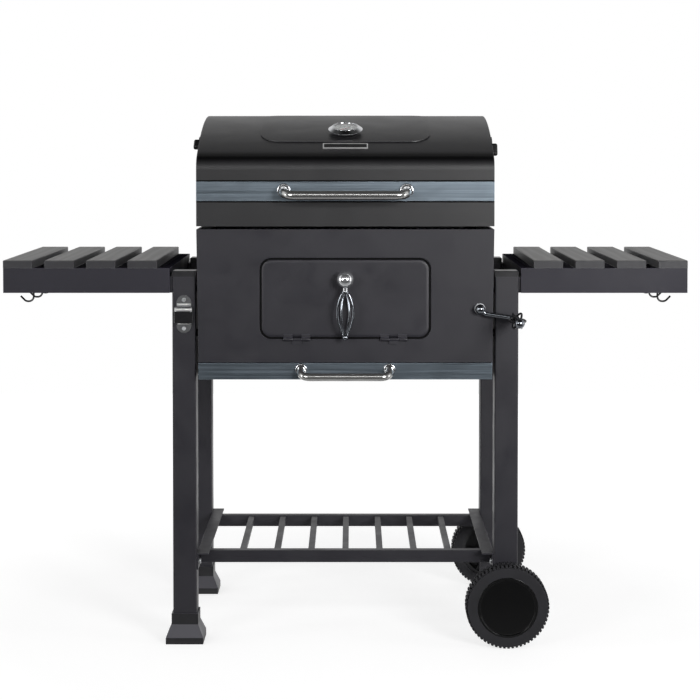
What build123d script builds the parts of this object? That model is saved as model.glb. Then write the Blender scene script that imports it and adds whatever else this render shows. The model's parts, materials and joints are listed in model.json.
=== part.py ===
from build123d import *
import os
from math import asin, atan2, cos, degrees, pi, radians, sin, sqrt, tan

# Charcoal grill cart: firebox with a hinged lid, a charcoal door, an ash drawer,
# a crank that lifts the charcoal tray, two slatted side tables and two wheels.
# Millimetres. X points right, Y points back, Z points up, the floor is Z = 0.

# Cart frame
leg_side = 48.0
leg_wall = 1.5
leg_corner = 3.0
cart_width = 700.0
cart_depth = 454.0
leg_top = 745.0
wheel_leg_end = 44.0
cap_height = 12.0
cap_chamfer = 1.5
cap_spigot = 3.0
slip_fit = 0.2

# Feet under the left legs
foot_side = 76.0
foot_base = 13.0
foot_skirt = 25.0
foot_collar = 22.0
foot_collar_wall = 3.0
foot_floor = 6.0

# Wheels on the right legs
wheel_radius = 84.0
wheel_width = 45.0
wheel_gap = 5.0
lug_count = 62
lug_height = 4.0
lug_share = 0.55
lug_groove = 4.0
tyre_wall = 23.0
tyre_shoulder = 5.0
rim_wall = 7.0
rim_inset = 4.0
web_thickness = 5.0
rib_count = 6
rib_thickness = 4.0
boss_radius = 13.0
boss_recess = 14.0
hubcap_rim = 5.0
hubcap_rim_width = 4.0
hubcap_slope = 2.0
hubcap_disc = 2.5
hubcap_edge = 1.2
axle_radius = 5.0
axle_nut_radius = 9.0
axle_nut_height = 5.0
running_fit = 0.05
end_play = 0.3

# Lower shelf
shelf_top = 179.0
shelf_rail_height = 25.0
shelf_rail_depth = 20.0
shelf_rail_inset = 44.0
shelf_angle_width = 24.0
shelf_angle_drop = 34.0
shelf_angle_thickness = 3.0
shelf_angle_inset = 3.0
shelf_bar_count = 7
shelf_bar_end = 87.2
shelf_bar_width = 13.0
shelf_bar_height = 10.0
shelf_bar_drop = 2.0

# Bolts
bolt_radius = 3.0
bolt_head_radius = 6.0
bolt_head_height = 4.0
bolt_clearance = 0.1
bolt_grip = 4.0
spacer_radius = 8.0
spacer_length = 6.0
firebox_bolt_heights = (630.0, 720.0)

# Firebox
sheet = 2.0
firebox_proud = 12.0
firebox_depth = 452.0
firebox_top = 842.0
panel_bottom = 573.0
side_bottom = 541.0
rim_lip = 12.0
lid_side_gap = 2.0
ledge_width = 15.0
ledge_drop = 12.0
ledge_top = 816.0

# Cooking grates
grate_clearance = 4.0
grate_gap = 6.0
grate_rod = 5.0
grate_rod_pitch = 15.0
grate_cross_inset = 40.0

# Charcoal door
door_width = 345.0
door_height = 164.0
door_bottom = 620.6
door_corner = 24.0
door_gap = 3.0
door_hinge_x = 97.5
door_hinge_length = 54.0
door_hinge_radius = 3.4
door_hinge_forward = 4.0
door_hinge_leaf = 10.0
door_pin_radius = 1.8
knob_drop = 42.6
knob_radius = 17.0
knob_standoff = 22.0
knob_stem_radius = 8.0
knob_shaft_radius = 5.0
knob_neck = 6.0
knob_neck_radius = 5.0
cam_length = 30.0
cam_width = 14.0
cam_thickness = 2.5
cam_gap = 0.5

# Basket grips of the door handle and the crank
grip_length = 88.0
grip_bulge = 16.0
grip_neck = 5.4
grip_wire_radius = 2.2
grip_wire_count = 6
grip_collar_radius = 8.0
grip_collar_height = 6.0
grip_end_radius = 6.0

# Ash drawer
drawer_front_gap = 0.6
drawer_front_height = 33.4
drawer_floor = 548.0
drawer_height = 22.0
drawer_side_gap = 0.5
drawer_end_gap = 22.0
runner_width = 18.0
runner_height = 24.0
drawer_handle_half = 97.0
drawer_handle_radius = 8.0
drawer_handle_standoff = 32.0
drawer_handle_bend = 18.0
drawer_handle_drop = 7.8
drawer_handle_sag = 12.0
drawer_ferrule_radius = 12.0

# Charcoal tray and its lift
crank_inset = 23.0
gear_module = 2.0
pinion_teeth = 14
pinion_width = 10.0
pressure_angle = 20.0
gear_backlash = 0.35
gear_root_gap = 0.5
rack_addendum = 1.6
flank_steps = 5
shaft_radius = 5.0
bearing_radius = 8.0
bearing_flange_radius = 11.0
bearing_flange = 2.0
bearing_length = 6.0
lift_travel = 80.0
tray_floor = 586.0
tray_height = 38.0
tray_left_gap = 18.0
tray_end_gap = 11.0
tray_slot_count = 9
tray_slot_width = 12.0
tray_slot_margin = 60.0
guide_inset = 90.0
guide_lug = 8.0
guide_gap = 0.6
rack_width = 12.0
rack_web = 11.5
rack_inset = 36.0
rack_foot = 3.4
rack_end_teeth = 2
crank_ball_radius = 10.0
crank_ball_forward = 14.0
crank_arm_reach = 69.5
crank_arm_drop = 18.0
crank_knee_reach = 10.0
crank_knee_drop = 9.0
crank_knee_bend = 12.0
crank_arm_radius = 4.5
crank_eye_radius = 7.0
crank_eye_length = 12.0
crank_pin_radius = 2.5
crank_end_radius = 10.0

# Lid
lid_gap = 6.0
lid_height = 226.0
lid_crown_radius = 718.0
lid_crown_apex = 355.0
lid_front_bend = 30.0
lid_back_bend = 60.0
emboss_side = 125.0
emboss_front = 75.0
emboss_length = 230.0
emboss_corner = 40.0
emboss_height = 2.0
emboss_slope = 1.8
band_rise = 51.0
band_height = 39.0
band_thickness = 1.5
lid_handle_half = 132.5
lid_handle_radius = 9.0
lid_handle_standoff = 44.0
lid_handle_bend = 24.0
lid_handle_drop = 6.6
lid_handle_sag = 8.5
lid_ferrule_radius = 14.0
ferrule_length = 5.0
lid_hinge_inset = 100.0
lid_hinge_length = 60.0
lid_hinge_radius = 7.0
lid_hinge_back = 9.0
lid_hinge_leaf = 46.0
lid_hinge_plate = 3.0
lid_leaf_gap = 1.0
lid_pin_radius = 3.0
knuckle_gap = 0.5

# Lid side vents
vent_back = 118.0
vent_height = 146.0
vent_radius = 34.0
vent_plate = 2.0
vent_gap = 0.3
vent_hole_radius = 8.0
vent_hole_circle = 20.0
vent_hole_count = 4
vent_rivet_radius = 3.0
vent_tab_circle = 22.0
vent_tab_length = 26.0
vent_tab_width = 12.0
vent_tab_corner = 5.0
vent_tab_round = 4.0
vent_tab_proud = 13.0
left_vent_tab_angle = 55.0
right_vent_tab_angle = 20.0

# Thermometer and name plate
gauge_back = 122.0
gauge_foot_radius = 28.0
gauge_rim_radius = 35.5
gauge_rim_height = 6.0
gauge_rim_edge = 1.5
gauge_top_radius = 27.5
gauge_height = 13.0
gauge_wall = 3.0
gauge_dial_depth = 4.0
gauge_dial_thickness = 1.0
gauge_glass_thickness = 1.2
gauge_glass_sink = 0.4
needle_rest_angle = 130.0
gauge_needle_length = 34.0
gauge_needle_width = 1.6
gauge_needle_offset = 6.8
gauge_needle_thickness = 0.6
gauge_pivot_radius = 1.2
gauge_stem_radius = 4.0
gauge_stem_length = 62.0
gauge_nut_radius = 9.0
gauge_nut_height = 5.0
plate_back = 55.0
plate_width = 92.0
plate_length = 22.0
plate_thickness = 2.2
plate_border = 2.4
plate_recess = 0.8

# Side tables
table_gap = 5.0
table_length = 335.5
table_front_inset = 2.0
apron_top = 763.0
apron_height = 50.0
apron_lip = 16.0
slat_count = 4
slat_width = 59.0
slat_pitch = 83.8
slat_thickness = 16.0
slat_edge = 2.0
slat_overhang = 6.0
hook_inset = 39.5
hook_width = 31.0
hook_drop = 30.0
hook_bend = 10.0
hook_tip = 11.0
hook_wire_radius = 2.0
hook_pitch = 105.0
hook_count = 3
hook_strip_width = 20.0
hook_strip_thickness = 3.0

# Bottle opener on the front left leg
opener_drop = 75.0
opener_width = 30.0
opener_length = 76.0
opener_plate = 2.0
opener_hood = 16.0
opener_hood_width = 38.0
opener_hood_height = 34.0
opener_hood_wall = 3.0
opener_hood_corner = 8.0
opener_hood_round = 5.0
opener_screw_radius = 2.0
opener_screw_inset = 9.0
opener_screw_head = 2.5

# Places worked out from the sizes above
leg_x = cart_width / 2 - leg_side / 2
leg_y = cart_depth / 2 - leg_side / 2
leg_inner_x = cart_width / 2 - leg_side
leg_face_y = cart_depth / 2
front_y = -leg_face_y - firebox_proud
back_y = front_y + firebox_depth
inner_front_y = front_y + sheet
inner_back_y = back_y - sheet
firebox_half = leg_inner_x - spacer_length
inner_half = firebox_half - sheet
lid_half = leg_inner_x - lid_side_gap
lid_bottom = firebox_top + lid_gap
lid_top = lid_bottom + lid_height
axle_height = wheel_radius
wheel_reach = wheel_gap + wheel_width
rim_outer_reach = wheel_reach - rim_inset
boss_reach = wheel_reach - boss_recess
tyre_bore = wheel_radius - tyre_wall
pitch_radius = gear_module * pinion_teeth / 2
tooth_pitch = pi * gear_module
rack_ends = rack_end_teeth * tooth_pitch
rack_low = tray_floor + rack_foot
crank_x = inner_half - crank_inset
crank_height = rack_low + lift_travel + rack_ends
shelf_bottom = shelf_top - shelf_rail_height
shelf_bolt_height = shelf_top - shelf_angle_drop / 2
apron_bottom = apron_top - apron_height
apron_middle = (apron_top + apron_bottom) / 2
table_inner_x = cart_width / 2 + table_gap
table_outer_x = table_inner_x + table_length
hook_x = table_outer_x - hook_inset
apron_half_y = leg_face_y + slat_overhang - table_front_inset
door_axis_y = front_y - door_hinge_forward
knob_height = door_bottom + door_height - knob_drop
opener_height = leg_top - opener_drop
drawer_top = panel_bottom - drawer_front_gap
lid_axis_y = back_y + lid_hinge_back
lid_axis_z = (firebox_top + lid_bottom) / 2


# Small helpers
def block(x0, x1, y0, y1, z0, z1):
    """Box between two opposite corners."""
    return Pos((x0 + x1) / 2, (y0 + y1) / 2, (z0 + z1) / 2) * Box(x1 - x0, y1 - y0, z1 - z0)


def rod(start, direction, radius, length):
    """Round bar from a start point along a direction."""
    return Part([Solid.make_cylinder(radius, length, Plane(origin=start, z_dir=direction))])


def pipe(path, radius):
    """Round bar that follows a path."""
    return sweep(Plane(origin=path @ 0, z_dir=path % 0) * Circle(radius), path=path)


def group(shapes):
    """Several separate solids kept in one node."""
    return Compound([solid for shape in shapes for solid in shape.solids()])


def bolt(seat, direction, length):
    """Round-headed bolt whose head sits on the seat point and whose shank runs along the direction."""
    axis = Vector(*direction)
    back = axis * -bolt_head_height
    head = rod(Vector(*seat) + back, direction, bolt_head_radius, bolt_head_height)
    far_edge = head.edges().sort_by(Axis(seat, direction))[0]
    head = fillet(far_edge, bolt_head_height / 2)
    return head + rod(seat, direction, bolt_radius, length)


def bolt_hole(seat, direction, length):
    """Clearance hole for a bolt, drilled past both faces of the wall."""
    start = Vector(*seat) - Vector(*direction) * length
    return rod(start, direction, bolt_radius + bolt_clearance, 2 * length)


def birdcage(bore):
    """Basket grip along +Z: bowed wires between two round collars, with room for a pin on its axis."""
    low = grip_collar_height / 2
    high = grip_length - low
    collar = extrude(Circle(grip_collar_radius), grip_collar_height)
    cage = collar + Pos(0, 0, grip_length - grip_collar_height) * collar
    for index in range(grip_wire_count):
        bow = ThreePointArc((grip_neck, 0, low), (grip_bulge, 0, grip_length / 2), (grip_neck, 0, high))
        cage += Rot(0, 0, 360 * index / grip_wire_count) * pipe(bow, grip_wire_radius)
    return cage - extrude(Circle(bore), grip_length) if bore else cage


nodes = {}


# Legs, caps and feet
def leg(x, y, bottom):
    """Square tube leg with its bolt holes."""
    outer = RectangleRounded(leg_side, leg_side, leg_corner)
    inner = RectangleRounded(leg_side - 2 * leg_wall, leg_side - 2 * leg_wall, leg_corner - leg_wall)
    tube = Pos(x, y, bottom) * extrude(outer - inner, leg_top - bottom)
    side = 1 if x > 0 else -1
    drill = 2 * leg_wall
    for height in (*firebox_bolt_heights, shelf_bolt_height):
        tube -= bolt_hole((side * leg_inner_x, y, height), (side, 0, 0), drill)
    tube -= bolt_hole((side * cart_width / 2, y, apron_middle), (side, 0, 0), drill)
    return tube


def opener_screw_seats():
    """Screw places of the bottle opener on the leg's front face."""
    reach = opener_length / 2 - opener_screw_inset
    return [(-leg_x, -leg_face_y, opener_height + offset) for offset in (-reach, reach)]


front_left = leg(-leg_x, -leg_y, foot_floor)
for seat in opener_screw_seats():
    start = (seat[0], seat[1] - leg_wall, seat[2])
    front_left -= rod(start, (0, 1, 0), opener_screw_radius + bolt_clearance, 3 * leg_wall)
axle_hole = rod((leg_x, -cart_depth, axle_height), (0, 1, 0), axle_radius + running_fit, 2 * cart_depth)
nodes["left_legs"] = group([front_left, leg(-leg_x, leg_y, foot_floor)])
nodes["right_legs"] = group([leg(leg_x, y, wheel_leg_end) - axle_hole for y in (-leg_y, leg_y)])


def leg_cap(x, y):
    """Plug with a chamfered top that closes a leg."""
    plate = Pos(0, 0, cap_height / 2) * Box(leg_side, leg_side, cap_height)
    plate = chamfer(plate.faces().sort_by(Axis.Z)[-1].edges(), cap_chamfer)
    spigot_side = leg_side - 2 * leg_wall - 2 * slip_fit
    spigot = Pos(0, 0, -cap_spigot / 2) * Box(spigot_side, spigot_side, cap_spigot)
    spigot = fillet(spigot.edges().filter_by(Axis.Z), leg_corner)
    return Pos(x, y, leg_top) * (plate + spigot)


nodes["leg_caps"] = group([leg_cap(x, y) for x in (-leg_x, leg_x) for y in (-leg_y, leg_y)])


def foot(y):
    """Flared foot with a socket that takes the end of a leg."""
    collar_side = leg_side + 2 * foot_collar_wall
    base = Pos(0, 0, foot_base / 2) * Box(foot_side, foot_side, foot_base)
    wide = Pos(0, 0, foot_base) * Rectangle(foot_side, foot_side)
    narrow = Pos(0, 0, foot_base + foot_skirt) * Rectangle(collar_side, collar_side)
    skirt = loft([wide, narrow])
    collar_middle = foot_base + foot_skirt + foot_collar / 2
    collar = Pos(0, 0, collar_middle) * Box(collar_side, collar_side, foot_collar)
    height = foot_base + foot_skirt + foot_collar
    socket = extrude(RectangleRounded(leg_side + 2 * slip_fit, leg_side + 2 * slip_fit, leg_corner), height)
    return Pos(-leg_x, y, 0) * (base + skirt + collar - Pos(0, 0, foot_floor) * socket)


nodes["feet"] = group([foot(-leg_y), foot(leg_y)])


# Wheels: built along +Z from the leg's face outwards, then turned to face front or back
def tread_row(z0, z1, phase):
    """Ring of square lugs between two heights."""
    root = wheel_radius - lug_height
    pitch = 2 * pi / lug_count
    points = []
    for index in range(lug_count):
        first = (index + phase) * pitch
        last = first + lug_share * pitch
        for radius, angle in ((root, first), (wheel_radius, first), (wheel_radius, last), (root, last)):
            points.append((radius * cos(angle), radius * sin(angle)))
    ring = make_face(Polyline(*points, close=True)) - Circle(root - lug_height)
    return Pos(0, 0, z0) * extrude(ring, z1 - z0)


def tyre():
    """Tyre with two staggered rows of lugs and a smooth side wall."""
    root = wheel_radius - lug_height
    carcass = Pos(0, 0, wheel_gap + wheel_width / 2) * Cylinder(root, wheel_width)
    carcass = chamfer(carcass.edges().filter_by(GeomType.CIRCLE), tyre_shoulder - lug_height)
    middle = wheel_gap + wheel_width / 2
    near = tread_row(wheel_gap + tyre_shoulder, middle - lug_groove / 2, 0)
    far = tread_row(middle + lug_groove / 2, wheel_reach - tyre_shoulder, 0.5)
    bore = Pos(0, 0, middle) * Cylinder(tyre_bore, 2 * wheel_width)
    return carcass + near + far - bore


def wheel_hub():
    """Ribbed plastic wheel centre with its axle boss."""
    outer = tyre_bore - running_fit
    inner = outer - rim_wall
    rim_low = wheel_gap + rim_inset
    rim = Pos(0, 0, rim_low) * extrude(Circle(outer) - Circle(inner), rim_outer_reach - rim_low)
    web_low = (rim_low + rim_outer_reach) / 2
    web = Pos(0, 0, web_low) * extrude(Circle(inner + rim_wall / 2), web_thickness)
    boss = Pos(0, 0, end_play) * extrude(Circle(boss_radius), boss_reach - end_play)
    hub = rim + web + boss
    for index in range(rib_count):
        rib = block(boss_radius / 2, inner + rim_wall / 2, -rib_thickness / 2, rib_thickness / 2,
                    rim_low + rim_inset, web_low + web_thickness / 2)
        hub += Rot(0, 0, 360 * index / rib_count) * rib
    bore = Pos(0, 0, -wheel_reach) * extrude(Circle(axle_radius + running_fit), 3 * wheel_reach)
    return hub - bore


def hubcap():
    """Cover that closes the outside of the wheel: a flat disc inside a rounded rim."""
    radius = tyre_bore - running_fit
    base = rim_outer_reach
    rim_inner = radius - hubcap_rim_width
    rim = base + hubcap_rim
    disc = base + hubcap_disc
    outline = Polyline((0, base), (radius, base), (radius, rim), (rim_inner, rim),
                       (rim_inner - hubcap_slope, disc), (0, disc), close=True)
    profile = make_face(outline)
    profile = fillet(profile.vertices().sort_by(Axis.Y)[-2:], hubcap_edge)
    return revolve(Plane.XZ * profile, Axis.Z)


def on_wheel(shape, back):
    """Place a wheel piece on the front or the back right leg."""
    sign = 1 if back else -1
    return Pos(leg_x, sign * leg_face_y, axle_height) * Rot(-90 * sign, 0, 0) * shape


for name, back in (("front", False), ("rear", True)):
    nodes[name + "_tyre"] = on_wheel(tyre(), back)
    nodes[name + "_wheel_hub"] = on_wheel(wheel_hub(), back)
    nodes[name + "_hubcap"] = on_wheel(hubcap(), back)
nut_base = boss_reach + end_play
nut_ring = Circle(axle_nut_radius) - Circle(axle_radius + running_fit)
axle_nut = Pos(0, 0, nut_base) * extrude(nut_ring, axle_nut_height)
axle_nuts = [on_wheel(axle_nut, False), on_wheel(axle_nut, True)]
axle_half = leg_face_y + nut_base + axle_nut_height
nodes["wheel_axle"] = rod((leg_x, -axle_half, axle_height), (0, 1, 0), axle_radius, 2 * axle_half)


# Lower shelf: two angles between the legs, two cross rails and the bars between them
def shelf_angle(side):
    """Angle bolted to the inner faces of two legs, with a flange on top of the cross rails."""
    half = leg_face_y - shelf_angle_inset
    top = shelf_top + shelf_angle_thickness
    inner = leg_inner_x - shelf_angle_thickness
    upright = block(inner, leg_inner_x, -half, half, top - shelf_angle_drop, top)
    flange = block(leg_inner_x - shelf_angle_width, leg_inner_x, -half, half, shelf_top, top)
    angle = upright + flange
    for y in (-leg_y, leg_y):
        angle -= bolt_hole((leg_inner_x, y, shelf_bolt_height), (1, 0, 0), 2 * shelf_angle_thickness)
    return angle if side > 0 else mirror(angle, Plane.YZ)


rail_half = leg_inner_x - shelf_angle_thickness
rail_outer = leg_face_y - shelf_rail_inset
rail_inner = rail_outer - shelf_rail_depth


def shelf_rail(side):
    """Cross rail welded under the angles' flanges."""
    y0, y1 = sorted((side * rail_outer, side * rail_inner))
    bar = block(-rail_half, rail_half, y0, y1, shelf_bottom, shelf_top)
    bore = block(-rail_half, rail_half, y0 + sheet, y1 - sheet, shelf_bottom + sheet, shelf_top - sheet)
    return bar - bore


nodes["shelf_side_angles"] = group([shelf_angle(-1), shelf_angle(1)])
nodes["shelf_rails"] = group([shelf_rail(-1), shelf_rail(1)])
bar_top = shelf_top - shelf_bar_drop
bar_reach = rail_half - shelf_bar_end
shelf_bars = []
for index in range(shelf_bar_count):
    x = bar_reach * (2 * index / (shelf_bar_count - 1) - 1)
    half = shelf_bar_width / 2
    shelf_bars.append(block(x - half, x + half, -rail_inner, rail_inner, bar_top - shelf_bar_height, bar_top))
nodes["shelf_bars"] = group(shelf_bars)


# Firebox panels
def door_outline(inset):
    """Rounded outline of the charcoal door in the front panel, shrunk by an inset."""
    outline = RectangleRounded(door_width - 2 * inset, door_height - 2 * inset, door_corner - inset)
    return Pos(0, 0, door_bottom + door_height / 2) * (Plane.XZ * outline)


def along_y(face, y0, y1):
    """Extrude a face drawn on the XZ plane from one depth to another."""
    return Pos(0, y0, 0) * extrude(face, y1 - y0, dir=(0, 1, 0))


panel_points = ((-firebox_half, panel_bottom), (firebox_half, panel_bottom),
                (lid_half, firebox_top), (-lid_half, firebox_top))
panel_face = Plane.XZ * make_face(Polyline(*panel_points, close=True))
front_panel = along_y(panel_face, front_y, inner_front_y)
front_panel -= along_y(door_outline(0), front_y - sheet, inner_front_y + sheet)
front_panel += block(-inner_half, inner_half, inner_front_y - sheet / 2, inner_front_y + rim_lip,
                     firebox_top - sheet, firebox_top)
crank_hole = rod((crank_x, front_y - sheet, crank_height), (0, 1, 0), bearing_radius, 3 * sheet)
nodes["firebox_front_panel"] = front_panel - crank_hole


def side_panel(side):
    """Side wall of the firebox with a turned-out top rim and holes for the leg bolts."""
    wall = block(inner_half, firebox_half, inner_front_y, inner_back_y, side_bottom, firebox_top)
    rim_start = firebox_half - sheet / 2
    rim = block(rim_start, lid_half, inner_front_y, inner_back_y, firebox_top - sheet, firebox_top)
    panel = wall + rim
    for y in (-leg_y, leg_y):
        for height in firebox_bolt_heights:
            panel -= bolt_hole((inner_half, y, height), (1, 0, 0), 2 * sheet)
    return panel if side > 0 else mirror(panel, Plane.YZ)


nodes["firebox_side_panels"] = group([side_panel(-1), side_panel(1)])
nodes["firebox_back_panel"] = block(-firebox_half, firebox_half, inner_back_y, back_y,
                                    side_bottom, firebox_top)


def ledge(y0, y1, upright_y0, upright_y1):
    """Angle that carries one end of the cooking grates."""
    flange = block(-inner_half, inner_half, y0, y1, ledge_top - sheet, ledge_top)
    upright = block(-inner_half, inner_half, upright_y0, upright_y1, ledge_top - ledge_drop, ledge_top)
    return flange + upright


nodes["grate_ledges"] = group([
    ledge(inner_front_y, inner_front_y + ledge_width, inner_front_y, inner_front_y + sheet),
    ledge(inner_back_y - ledge_width, inner_back_y, inner_back_y - sheet, inner_back_y),
])


# Cooking grates, one on each side of the middle
def grate(side):
    """Rods from front to back, joined by an end rod at each side and two cross rods."""
    x0 = grate_gap / 2 + grate_rod / 2
    x1 = inner_half - grate_clearance - grate_rod / 2
    y0 = inner_front_y + grate_clearance
    y1 = inner_back_y - grate_clearance
    count = int((x1 - x0) // grate_rod_pitch)
    z = ledge_top + grate_rod / 2
    frame = Part()
    for index in range(count + 1):
        x = x0 + (x1 - x0) * index / count
        frame += block(x - grate_rod / 2, x + grate_rod / 2, y0, y1, z - grate_rod / 2, z + grate_rod / 2)
    for y in (y0 + grate_cross_inset, y1 - grate_cross_inset):
        frame += block(x0, x1, y - grate_rod / 2, y + grate_rod / 2, z - grate_rod / 2, z + grate_rod / 2)
    return frame if side > 0 else mirror(frame, Plane.YZ)


nodes["cooking_grates"] = group([grate(-1), grate(1)])


# Charcoal door: hinged at its bottom edge, with a turning handle and a latch cam
def hinge_barrel(x0, x1, y, z, radius, bore):
    """Hinge knuckle along X."""
    knuckle = rod((x0, y, z), (1, 0, 0), radius, x1 - x0)
    return knuckle - rod((x0 - radius, y, z), (1, 0, 0), bore, x1 - x0 + 2 * radius)


door_bore = door_pin_radius + running_fit
door_third = door_hinge_length / 3
half_gap = knuckle_gap / 2
door_plate = along_y(door_outline(door_gap), front_y, inner_front_y)
door_leaves = []
door_pins = []


def door_knuckle(x0, x1, z0, z1):
    """Knuckle on the door's hinge axis with a tongue that carries it."""
    tongue = block(x0, x1, door_axis_y, front_y, z0, z1)
    tongue -= rod((x0 - half_gap, door_axis_y, door_bottom), (1, 0, 0), door_bore, x1 - x0 + knuckle_gap)
    return tongue + hinge_barrel(x0, x1, door_axis_y, door_bottom, door_hinge_radius, door_bore)


for x in (-door_hinge_x, door_hinge_x):
    for x0 in (x - 3 * door_third / 2, x + door_third / 2):
        door_plate += door_knuckle(x0 + half_gap, x0 + door_third - half_gap,
                                   door_bottom + door_gap, door_bottom + door_hinge_leaf)
    door_leaves.append(door_knuckle(x - door_third / 2 + half_gap, x + door_third / 2 - half_gap,
                                    door_bottom - door_hinge_leaf, door_bottom - door_gap))
    pin_start = (x - door_hinge_length / 2, door_axis_y, door_bottom)
    door_pins.append(rod(pin_start, (1, 0, 0), door_pin_radius, door_hinge_length))
knob_hole = rod((0, front_y - sheet, knob_height), (0, 1, 0), knob_shaft_radius + running_fit, 3 * sheet)
nodes["door_panel"] = door_plate - knob_hole
nodes["door_hinge_leaves"] = group(door_leaves)
nodes["door_hinge_pins"] = group(door_pins)
knob_y = front_y - knob_standoff
stem_length = knob_standoff - end_play
cam_y = inner_front_y + cam_gap
knob = Pos(0, knob_y, knob_height) * Sphere(knob_radius)
knob += rod((0, knob_y, knob_height), (0, 1, 0), knob_stem_radius, stem_length)
knob += rod((0, knob_y, knob_height), (0, 1, 0), knob_shaft_radius, cam_y + cam_thickness - knob_y)
knob += rod((0, knob_y, knob_height), (0, 0, -1), knob_neck_radius, knob_radius + knob_neck)
cam_face = Pos(0, 0, knob_height) * (Plane.XZ * SlotOverall(cam_length + cam_width, cam_width, rotation=90))
cam_face = Pos(0, 0, cam_length / 2) * cam_face
cam = along_y(cam_face, cam_y, cam_y + cam_thickness)
cam -= rod((0, cam_y - sheet, knob_height), (0, 1, 0), knob_shaft_radius, 3 * sheet)
nodes["door_knob"] = knob
nodes["door_latch_cam"] = cam
grip_top = knob_height - knob_radius - knob_neck
door_cage = birdcage(0)
door_cage += Pos(0, 0, grip_length + grip_end_radius - sheet / 2) * Sphere(grip_end_radius)
nodes["door_grip"] = Pos(0, knob_y, grip_top) * Rot(180, 0, 0) * door_cage


# Ash drawer on two runners
def runner(side):
    """Angle on the inside of a side panel that the drawer slides on."""
    top = drawer_floor - end_play
    flange = block(inner_half - runner_width, inner_half, inner_front_y, inner_back_y, top - sheet, top)
    upright = block(inner_half - sheet, inner_half, inner_front_y, inner_back_y,
                    top - sheet, top + runner_height)
    angle = flange + upright
    return angle if side > 0 else mirror(angle, Plane.YZ)


def handle(half, radius, standoff, bend, sag, seat_y, z):
    """Bar handle whose two ends rise back to the face that carries it, cut flush with that face."""
    reach = half - radius
    front = seat_y - standoff
    back = seat_y + standoff
    points = ((-reach, back, z + 2 * sag), (-reach, front, z), (reach, front, z), (reach, back, z + 2 * sag))
    bar = pipe(FilletPolyline(*points, radius=bend), radius)
    return bar - block(-2 * half, 2 * half, seat_y, back + 2 * radius, z - half, z + half)


def handle_ferrules(half, radius, standoff, sag, seat_y, z, ring_radius):
    """Rounded rings around the two ends of a bar handle."""
    rings = []
    for x in (radius - half, half - radius):
        start = (x, seat_y - ferrule_length, z + sag)
        ring = rod(start, (0, 1, 0), ring_radius, ferrule_length)
        ring = fillet(ring.edges().sort_by(Axis.Y)[0], ferrule_length / 2)
        passage = rod((x, seat_y - standoff, z), (0, standoff, sag), radius + running_fit, 2 * standoff)
        rings.append(ring - passage)
    return group(rings)


runners = [runner(-1), runner(1)]
pan_half = inner_half - sheet - drawer_side_gap
pan_back = inner_back_y - drawer_end_gap
pan = block(-pan_half, pan_half, front_y, pan_back, drawer_floor, drawer_floor + drawer_height)
pan -= block(-pan_half + sheet, pan_half - sheet, front_y + sheet, pan_back - sheet,
             drawer_floor + sheet, drawer_floor + 2 * drawer_height)
nodes["drawer_pan"] = pan
strip_front = front_y - sheet
strip_bottom = drawer_top - drawer_front_height
nodes["drawer_front"] = block(-firebox_half, firebox_half, strip_front, front_y, strip_bottom, drawer_top)
drawer_handle_z = strip_bottom + drawer_front_height / 2 - drawer_handle_drop
nodes["drawer_handle"] = handle(drawer_handle_half, drawer_handle_radius, drawer_handle_standoff,
                                drawer_handle_bend, drawer_handle_sag, strip_front, drawer_handle_z)
nodes["drawer_handle_ferrules"] = handle_ferrules(drawer_handle_half, drawer_handle_radius,
                                                  drawer_handle_standoff, drawer_handle_sag, strip_front,
                                                  drawer_handle_z, drawer_ferrule_radius)

# Charcoal tray: lifted by two racks on its right wall and guided by two lugs on its left wall
rack_root_x = crank_x - pitch_radius - gear_module - gear_root_gap
tray_right = rack_root_x - rack_web
tray_left = -inner_half + tray_left_gap
tray_front = inner_front_y + tray_end_gap
tray_back = inner_back_y - tray_end_gap
tray_rim = tray_floor + tray_height
tray = block(tray_left, tray_right, tray_front, tray_back, tray_floor, tray_rim)
tray -= block(tray_left + sheet, tray_right - sheet, tray_front + sheet, tray_back - sheet,
              tray_floor + sheet, tray_rim + tray_height)
slot_low = tray_left + tray_slot_margin
slot_step = (tray_right - tray_left - 2 * tray_slot_margin) / (tray_slot_count - 1)
for index in range(tray_slot_count):
    x = slot_low + index * slot_step
    tray -= block(x - tray_slot_width / 2, x + tray_slot_width / 2, tray_front + tray_slot_margin,
                  tray_back - tray_slot_margin, tray_floor - sheet, tray_floor + 2 * sheet)
guide_places = (tray_front + guide_inset, tray_back - guide_inset)
guide_slot = guide_lug / 2 + guide_gap
guide_reach = tray_left_gap - guide_gap
lug_left = tray_left - guide_reach + sheet + guide_gap
channel_right = -inner_half + guide_reach - guide_gap
guides = []
for y in guide_places:
    tray += block(lug_left, tray_left + sheet / 2, y - guide_lug / 2, y + guide_lug / 2, tray_floor, tray_rim)
    channel = block(-inner_half, channel_right, y - guide_slot - sheet, y + guide_slot + sheet,
                    tray_floor, tray_rim + lift_travel)
    channel -= block(-inner_half + sheet, tray_left, y - guide_slot, y + guide_slot,
                     tray_floor - sheet, tray_rim + lift_travel + sheet)
    guides.append(channel)
nodes["charcoal_tray"] = tray
nodes["firebox_guides"] = group(runners + guides)

# Rack and pinion teeth
tooth_slope = tan(radians(pressure_angle))
rack_half_tooth = tooth_pitch / 4 - gear_backlash / 4
rack_high = crank_height + rack_ends
pitch_line_x = crank_x - pitch_radius


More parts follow.
